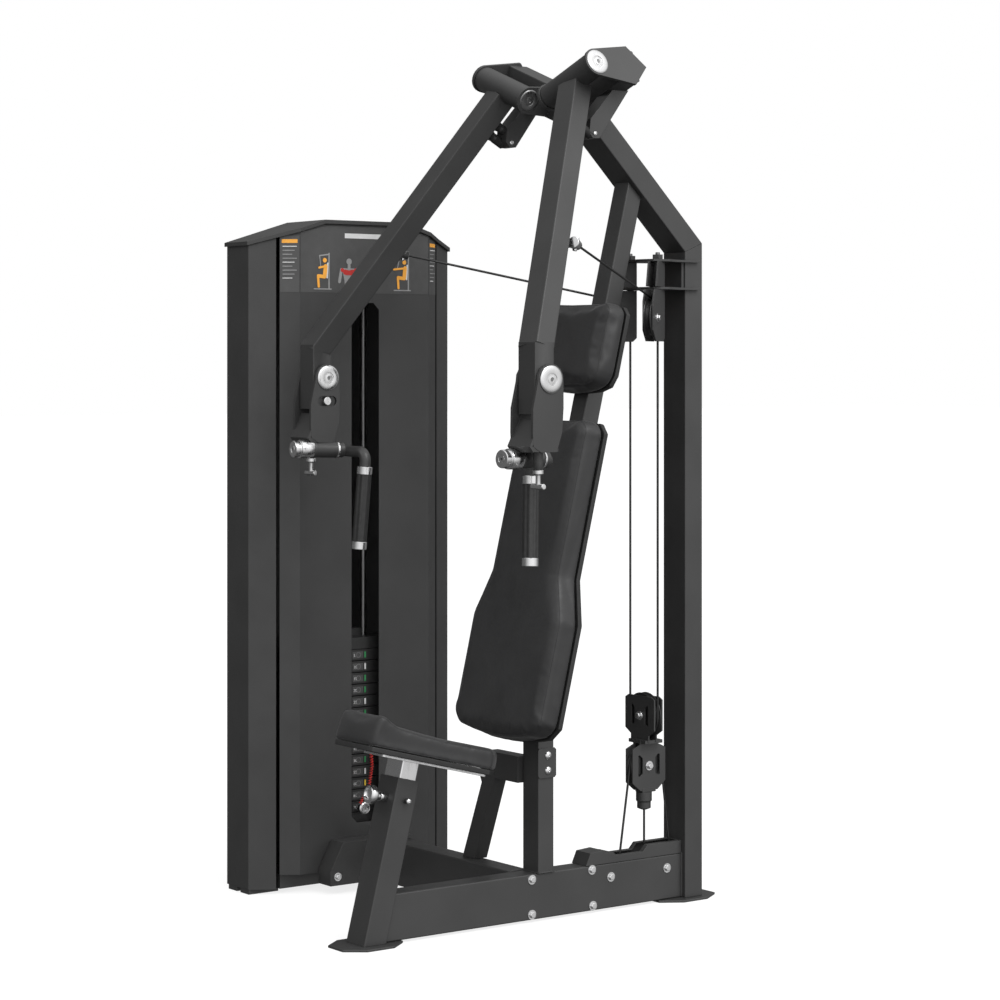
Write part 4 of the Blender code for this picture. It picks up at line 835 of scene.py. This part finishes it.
def inflate(obj, cap, back_point, back_normal):
    """Swells the cover by cloth pressure, held at its back, with each point's travel capped."""
    rest = [v.co.copy() for v in obj.data.vertices]
    held = obj.vertex_groups.new(name="held")
    near_back = 0.004
    on_back = [v.index for v in obj.data.vertices if (v.co - back_point).dot(back_normal) > -near_back]
    held.add(on_back, 1.0, "REPLACE")
    cloth = obj.modifiers.new("cloth", "CLOTH")
    settings = cloth.settings
    settings.use_pressure = True
    settings.uniform_pressure_force = 4.0
    settings.effector_weights.gravity = 0.0
    settings.vertex_group_mass = "held"
    settings.tension_stiffness = settings.compression_stiffness = 20.0
    settings.bending_stiffness = 0.6
    cloth.point_cache.frame_start, cloth.point_cache.frame_end = 1, SIMULATED_FRAMES
    scene = bpy.context.scene
    for moment in range(1, SIMULATED_FRAMES + 1):
        scene.frame_set(moment)
    with_modifiers(obj)
    scene.frame_set(1)
    for vertex, start in zip(obj.data.vertices, rest):
        travel = vertex.co - start
        if travel.length > cap:
            vertex.co = start + travel * (cap / travel.length)


def seam(name, pad, point, normal, body):
    """A sewn seam that follows the cover where a plane cuts it."""
    work = bmesh.new()
    work.from_mesh(pad.data)
    cut = bmesh.ops.bisect_plane(work, geom=everything(work), plane_co=point, plane_no=normal,
                                 clear_outer=True)
    edges = {g for g in cut["geom_cut"] if isinstance(g, bmesh.types.BMEdge)}
    paths = []
    while edges:
        # The lowest edge comes first, so that each run draws the same seam.
        edge = min(edges, key=lambda e: tuple(e.verts[0].co + e.verts[1].co))
        edges.remove(edge)
        first, last = sorted(edge.verts, key=lambda v: tuple(v.co))
        path = [first.co.copy(), last.co.copy()]
        while True:
            following = [e for e in last.link_edges if e in edges]
            if not following:
                break
            edges.remove(following[0])
            last = following[0].other_vert(last)
            path.append(last.co.copy())
        paths.append(path)
    work.free()
    longest = max(paths, key=len)
    closed = (longest[0] - longest[-1]).length < 1e-5
    if closed:
        longest = longest[:-1]
    strand(name, longest[::2], 0.0011, LEATHER, body, cyclic=closed, sides=2)


def upholstered(node, back_at, back_normal, cap, seam_depth, rounding=0.014):
    """A foam pad on its board, made from the CAD pad and sewn at a depth from the board's back."""
    body = BODIES[node]
    plane = back_at - BOARD_DEPTH * back_normal
    parted = 0.0005 * back_normal
    board = add_piece(node + "_board", mesh_from(sliced(node, plane - parted, back_normal, False), node),
                      BOARD, body)
    narrowed(board, back_normal, 0.0035)
    rounded_edges(board, 0.002, 3)
    cover = add_piece(node + "_cover", mesh_from(sliced(node, plane, back_normal, True), node),
                      LEATHER, body, None, [node])
    rounded_edges(cover, rounding, 4, 25.0)
    remesh = cover.modifiers.new("voxels", "REMESH")
    remesh.mode = "VOXEL"
    remesh.voxel_size = 0.0055
    with_modifiers(cover)
    inset_mesh(cover, 0.0012)
    relax = cover.modifiers.new("relax", "SMOOTH")
    relax.factor, relax.iterations = 0.5, 6
    with_modifiers(cover)
    inflate(cover, cap, plane, back_normal)
    relax = cover.modifiers.new("relax", "SMOOTH")
    relax.factor, relax.iterations = 0.5, 8
    smoother = cover.modifiers.new("finer", "SUBSURF")
    smoother.levels = smoother.render_levels = 1
    with_modifiers(cover)
    cover.data.shade_smooth()
    seam(node + "_seam_0", cover, back_at - seam_depth * back_normal, back_normal, body)


def pads():
    lean = math.radians(13.8)
    behind = Vector((0, math.cos(lean), -math.sin(lean)))
    back_at = Vector((0, 0.511, 0.9)) + PAD_DEPTH * behind
    upholstered("back_pad", back_at, behind, 0.006, 0.0655)
    upholstered("headrest_pad", back_at, behind, 0.006, 0.0655)
    up = Vector(JOINTS["seat_slide"]["axis"])
    upholstered("seat_pad", 0.4636 * up, -up, 0.004, 0.016, 0.01)


def seat_hardware():
    pull = Vector(JOINTS["seat_pin_pull"]["axis"])
    up = Vector(JOINTS["seat_slide"]["axis"])
    at = Vector((0, 0.034, 0.006)) + 0.349 * up
    face = 0.032  # the leg's front face, along the pull
    lathe("seat_pin_knob",
          [*raised(face, [(0, 0.046), (0.012, 0.046), (0.0135, 0.0475), (0.015, 0.0515), (0.018, 0.0519),
                          (0.0215, 0.0495), (0.023, 0.0455), (0.023, 0.0375), (0.0215, 0.0335),
                          (0.018, 0.0312), (0.01, 0.0305), (0.01, 0.0192), (0.006, 0.019)]),
           (0.006, 0.026), (0, 0.026)],
          at, pull, CHROME, "seat_pin", 64, ["seat_pull_pin"])
    lathe("seat_pin_sleeve",
          raised(face, [(0.0112, 0.002), (0.0118, 0.004), (0.0118, 0.017), (0.0112, 0.018), (0.0101, 0.018),
                        (0.0101, 0.002)]),
          at, pull, CHROME, "frame", 48, closed=True)
    rearward = Vector((0, up.z, -up.y))
    for i, reach in enumerate((0.175, 0.24)):
        dome_bolt(f"seat_board_bolt_{i}", 0.4626 * up + reach * rearward, -up, "seat", 0.0085, 0.005)


# ---- weight tower
def stack():
    low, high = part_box("weight_plates")
    middle = (low + high) / 2
    count = round((high.z - low.z) / PLATE_PITCH)
    outline = box_outline(high.x - low.x, high.y - low.y)
    for i in range(count):
        z = low.z + (i + 0.5) * PLATE_PITCH
        slab(f"weight_plate_{i:02d}", outline, PLATE_PITCH - PLATE_GAP, WEIGHT, "stack",
             (middle.x, middle.y, z - PLATE_PITCH / 2 + 0.0006), X, Y, 0.0016,
             ["weight_plates"] if i == 0 else ())
        at = Vector((high.x + 0.00005, middle.y, z))
        label, mark = box_outline(0.034, 0.0185, (-0.002, 0)), box_outline(0.005, 0.016, (0.0215, 0))
        colour = RED if i == 0 else YELLOW if i in (1, 2) else GREEN if i % 3 else WHITE
        slab(f"plate_label_{i:02d}", label, 0.0003, PLACARD, "stack", at, Y, Z)
        number(f"plate_number_{i:02d}", str(5 * (count - i)), at + Vector((0.0004, -0.016, -0.0045)))
        slab(f"plate_mark_{i:02d}", mark, 0.0004, colour, "stack", at, Y, Z)
        if i:
            lathe(f"plate_hole_{i:02d}", [(0.0058, 0.0006), (0.0072, 0.0006), (0.0075, 0.0), (0.0058, 0.0)],
                  at + 0.0001 * X, X, STEEL, "stack", 24, closed=True)
    refined("stack_head", 0.0012)
    tip, knob = (corner.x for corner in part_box("selector_pin"))
    base = middle_of("selector_pin")
    base.x = 0
    lathe("selector_knob",
          [*raised(knob, [(0, -0.0012), (0.005, -0.0012), (0.0056, -0.0002), (0.011, 0), (0.0116, -0.0008),
                          (0.0128, -0.0008), (0.0134, 0), (0.0146, -0.0006), (0.017, -0.003),
                          (0.017, -0.015), (0.0145, -0.0178), (0.007, -0.019), (0.007, -0.0345),
                          (0.0048, -0.0345)]), (0.0048, tip + 0.002), (0.0036, tip), (0, tip)],
          base, X, CHROME, "selector", 56, ["selector_pin"])
    lanyard()


def number(name, words, at):
    """Plain digits on a plate's label."""
    curve = bpy.data.curves.new(name, "FONT")
    curve.body, curve.size, curve.extrude = words, 0.011, 0.00015
    add_piece(name, mesh_of_curve(curve), WHITE, "stack", axes_at(at, Y, Z), smooth=None)


def lanyard():
    """The coiled cord that ties the selector pin to its clip."""
    low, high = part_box("pin_lanyard")
    clip_y = 0.4565
    corners = [(-0.616, low.y + 0.004, low.z + 0.004), (-0.6125, 0.4485, 0.2665), (-0.6125, 0.458, 0.32),
               (-0.616, clip_y, high.z)]
    path = rounded_path(corners, 0.03, 6)
    lengths = [0.0]
    for a, b in zip(path, path[1:]):
        lengths.append(lengths[-1] + (b - a).length)
    turns, steps, coil = 22, 12, 0.0036
    core = []
    for i in range(turns * steps + 1):
        along_path = lengths[-1] * i / (turns * steps)
        k = max(j for j, value in enumerate(lengths) if value <= along_path + 1e-12)
        k = min(k, len(path) - 2)
        share = (along_path - lengths[k]) / max(lengths[k + 1] - lengths[k], 1e-9)
        turn = 2 * math.pi * i / steps
        core.append(path[k].lerp(path[k + 1], share) + coil * Vector((math.cos(turn), math.sin(turn), 0)))
    strand("lanyard_coil", core, 0.0012, RED, "stack", ["pin_lanyard"], sides=2)
    slab("lanyard_clip", box_outline(0.012, 0.02), 0.006, WHITE, "stack", (-0.62, clip_y, high.z), Y, Z,
         0.001)


def placard():
    """A generic picture band: bars for text, plain figures for the movement. It carries no words."""
    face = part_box("tower_shroud")[1].x

    def patch(name, outline, material, lift=0.0003):
        slab(name, outline, PRINT, material, "frame", Vector((face + 0.0003 + lift, 0, 0)), Y, Z)

    foot, brow, ridge = PLACARD_FOOT, 1.752, 1.77
    patch("placard_band", [(0.2365, foot), (0.6485, foot), (0.6485, brow), (0.56, ridge), (0.325, ridge),
                           (0.2365, brow)], PLACARD, 0.0)
    patch("placard_title", span_outline(0.376, 0.528, 1.7385, 1.7515), WHITE, 0.0005)
    figure("press_start", patch, 0.308, False)
    figure("press_end", patch, 0.564, True)
    body_chart(patch, 0.389)

    # The angled facets of the shroud carry the orange headings and their lines.
    for name, sign in (("near", -1), ("far", 1)):
        edge = Vector((face, TOWER_Y + sign * 0.2075, 0))
        back = Vector((-0.652, TOWER_Y + sign * 0.2515, 0))
        u = (back - edge).normalized() * sign
        normal = u.cross(Z)
        width = (back - edge).length
        film = (edge if sign > 0 else back) + 0.0003 * normal
        slab(f"placard_{name}_facet", span_outline(0.001, width - 0.001, foot, 1.742), PRINT, PLACARD,
             "frame", film, u, Z)
        ink = film + 0.0004 * normal
        slab(f"placard_{name}_heading", span_outline(0.006, width - 0.006, 1.722, 1.732), PRINT, ORANGE,
             "frame", ink, u, Z)
        for i in range(9):
            z = 1.712 - i * 0.0105
            reach = width - 0.008 - 0.006 * (i * 7 % 3)
            slab(f"placard_{name}_line_{i}", span_outline(0.008, reach, z, z + 0.0022), PRINT,
                 SILVER if i % 4 else WHITE, "frame", ink, u, Z)


def limb(a, b, width):
    """A rounded bar from a to b in the placard's plane."""
    a, b = Vector((*a, 0)), Vector((*b, 0))
    ahead = (b - a).normalized()
    across = Vector((-ahead.y, ahead.x, 0))
    first = math.atan2(across.y, across.x)
    outline = []
    for centre, start in ((a, first), (b, first + math.pi)):
        for i in range(7):
            turn = start + math.pi * i / 6
            outline.append((centre.x + width * math.cos(turn), centre.y + width * math.sin(turn)))
    return outline


def picture(name, patch, middle, parts):
    """Flat parts on the placard, each a little in front of the one before."""
    for i, (part, (outline, material)) in enumerate(parts.items()):
        moved = [(middle + a, FIGURE_FOOT + b) for a, b in outline]
        patch(f"{name}_{part}", moved, material, 0.0004 + 0.00012 * i)


def figure(name, patch, middle, pressed):
    """A seated figure on a plain machine outline."""
    reach = 0.03 if pressed else 0.014
    picture(name, patch, middle, {
        "post": (span_outline(0.016, 0.02, 0.002, 0.098), SILVER),
        "base": (span_outline(-0.03, 0.026, 0.0, 0.003), SILVER),
        "rest": (limb((0.012, 0.032), (0.014, 0.07), 0.0022), WHITE),
        "beam": (limb((0.018, 0.094), (-0.012, 0.09), 0.0018), SILVER),
        "lever": (limb((-0.012, 0.09), (-reach * 0.6, 0.062), 0.0014), SILVER),
        "torso": (limb((0.004, 0.036), (0.007, 0.062), 0.006), ORANGE),
        "thigh": (limb((0.004, 0.034), (-0.016, 0.036), 0.0048), ORANGE),
        "shin": (limb((-0.017, 0.034), (-0.015, 0.008), 0.0036), ORANGE),
        "arm": (limb((0.006, 0.062), (-reach, 0.058), 0.0028), ORANGE),
        "head": (disc_outline(0.0062, (0.004, 0.078), 20), ORANGE),
    })


def body_chart(patch, middle):
    """A plain standing torso with the working muscles marked."""
    picture("chart", patch, middle, {
        "hips": ([(-0.012, 0.002), (0.012, 0.002), (0.014, 0.024), (-0.014, 0.024)], SILVER),
        "trunk": ([(-0.014, 0.024), (0.014, 0.024), (0.022, 0.058), (-0.022, 0.058)], SILVER),
        "arm_a": (limb((-0.024, 0.054), (-0.03, 0.022), 0.0045), SILVER),
        "arm_b": (limb((0.024, 0.054), (0.03, 0.022), 0.0045), SILVER),
        "chest_a": (limb((-0.012, 0.048), (-0.004, 0.046), 0.007), RED),
        "chest_b": (limb((0.012, 0.048), (0.004, 0.046), 0.007), RED),
        "shoulder_a": (disc_outline(0.0055, (-0.021, 0.053), 16), RED),
        "shoulder_b": (disc_outline(0.0055, (0.021, 0.053), 16), RED),
        "neck": (limb((0, 0.058), (0, 0.066), 0.0045), SILVER),
        "head": (disc_outline(0.0085, (0, 0.076), 20), SILVER),
    })


# ---- studio
def area_light(name, at, target, size, energy):
    light = bpy.data.lights.new(name, "AREA")
    light.shape = "RECTANGLE"
    light.size, light.size_y = size
    light.energy = energy
    made = new_object(name, light)
    made.location = at
    made.rotation_euler = (Vector(target) - Vector(at)).to_track_quat("-Z", "Y").to_euler()


def surroundings():
    """White behind the machine, and a soft light on it that is stronger from the bright side."""
    world = bpy.data.worlds.new("studio")
    bpy.context.scene.world = world
    world.use_nodes = True
    nodes, links = world.node_tree.nodes, world.node_tree.links
    background = nodes["Background"]
    direction = nodes.new("ShaderNodeTexCoord").outputs["Generated"]
    lean = nodes.new("ShaderNodeVectorMath")
    lean.operation = "DOT_PRODUCT"
    lean.inputs[1].default_value = BRIGHT_SIDE
    links.new(direction, lean.inputs[0])
    spread = nodes.new("ShaderNodeMapRange")
    spread.interpolation_type = "SMOOTHSTEP"
    for socket, value in zip(("From Min", "From Max", "To Min", "To Max"), (-0.25, 0.95, DIM, BRIGHT)):
        spread.inputs[socket].default_value = value
    links.new(lean.outputs["Value"], spread.inputs["Value"])
    seen = nodes.new("ShaderNodeLightPath")
    level = nodes.new("ShaderNodeMix")
    links.new(seen.outputs["Is Camera Ray"], level.inputs["Factor"])
    links.new(spread.outputs["Result"], level.inputs["A"])
    level.inputs["B"].default_value = 1.0
    links.new(level.outputs["Result"], background.inputs["Strength"])
    background.inputs["Color"].default_value = (1, 1, 1, 1)


def studio():
    surroundings()
    work = bmesh.new()
    bmesh.ops.create_grid(work, x_segments=8, y_segments=8, size=60)
    floor = add_piece("studio_floor", mesh_from(work, "studio_floor"), backdrop(), None,
                      Matrix.Translation((0, 0, -0.0006)), smooth=None)
    floor.visible_diffuse = floor.visible_glossy = False
    area_light("key", (3.6, 0.9, 4.8), (0, 0.5, 1.0), (2.5, 2.5), 130)
    area_light("rim", (-1.5, -4.5, 4.2), (0, 0.3, 1.2), (2.5, 2.0), 25)

    camera = bpy.data.cameras.new("camera")
    camera.lens = 95.61
    camera.shift_y = -0.1353
    made = new_object("camera", camera)
    made.location = (5.3476, -3.5048, 1.4)
    made.rotation_euler = (math.radians(90), 0, math.radians(53.62))
    bpy.context.scene.camera = made
    bpy.context.scene.view_settings.view_transform = "Standard"


frame_and_tubes()
frame_bolts()
welds()
for side_name in SIDES:
    pivots(side_name)
    clevis_hardware(side_name)
    handle(side_name)
sheaves()
cables()
pads()
seat_hardware()
stack()
placard()
studio()
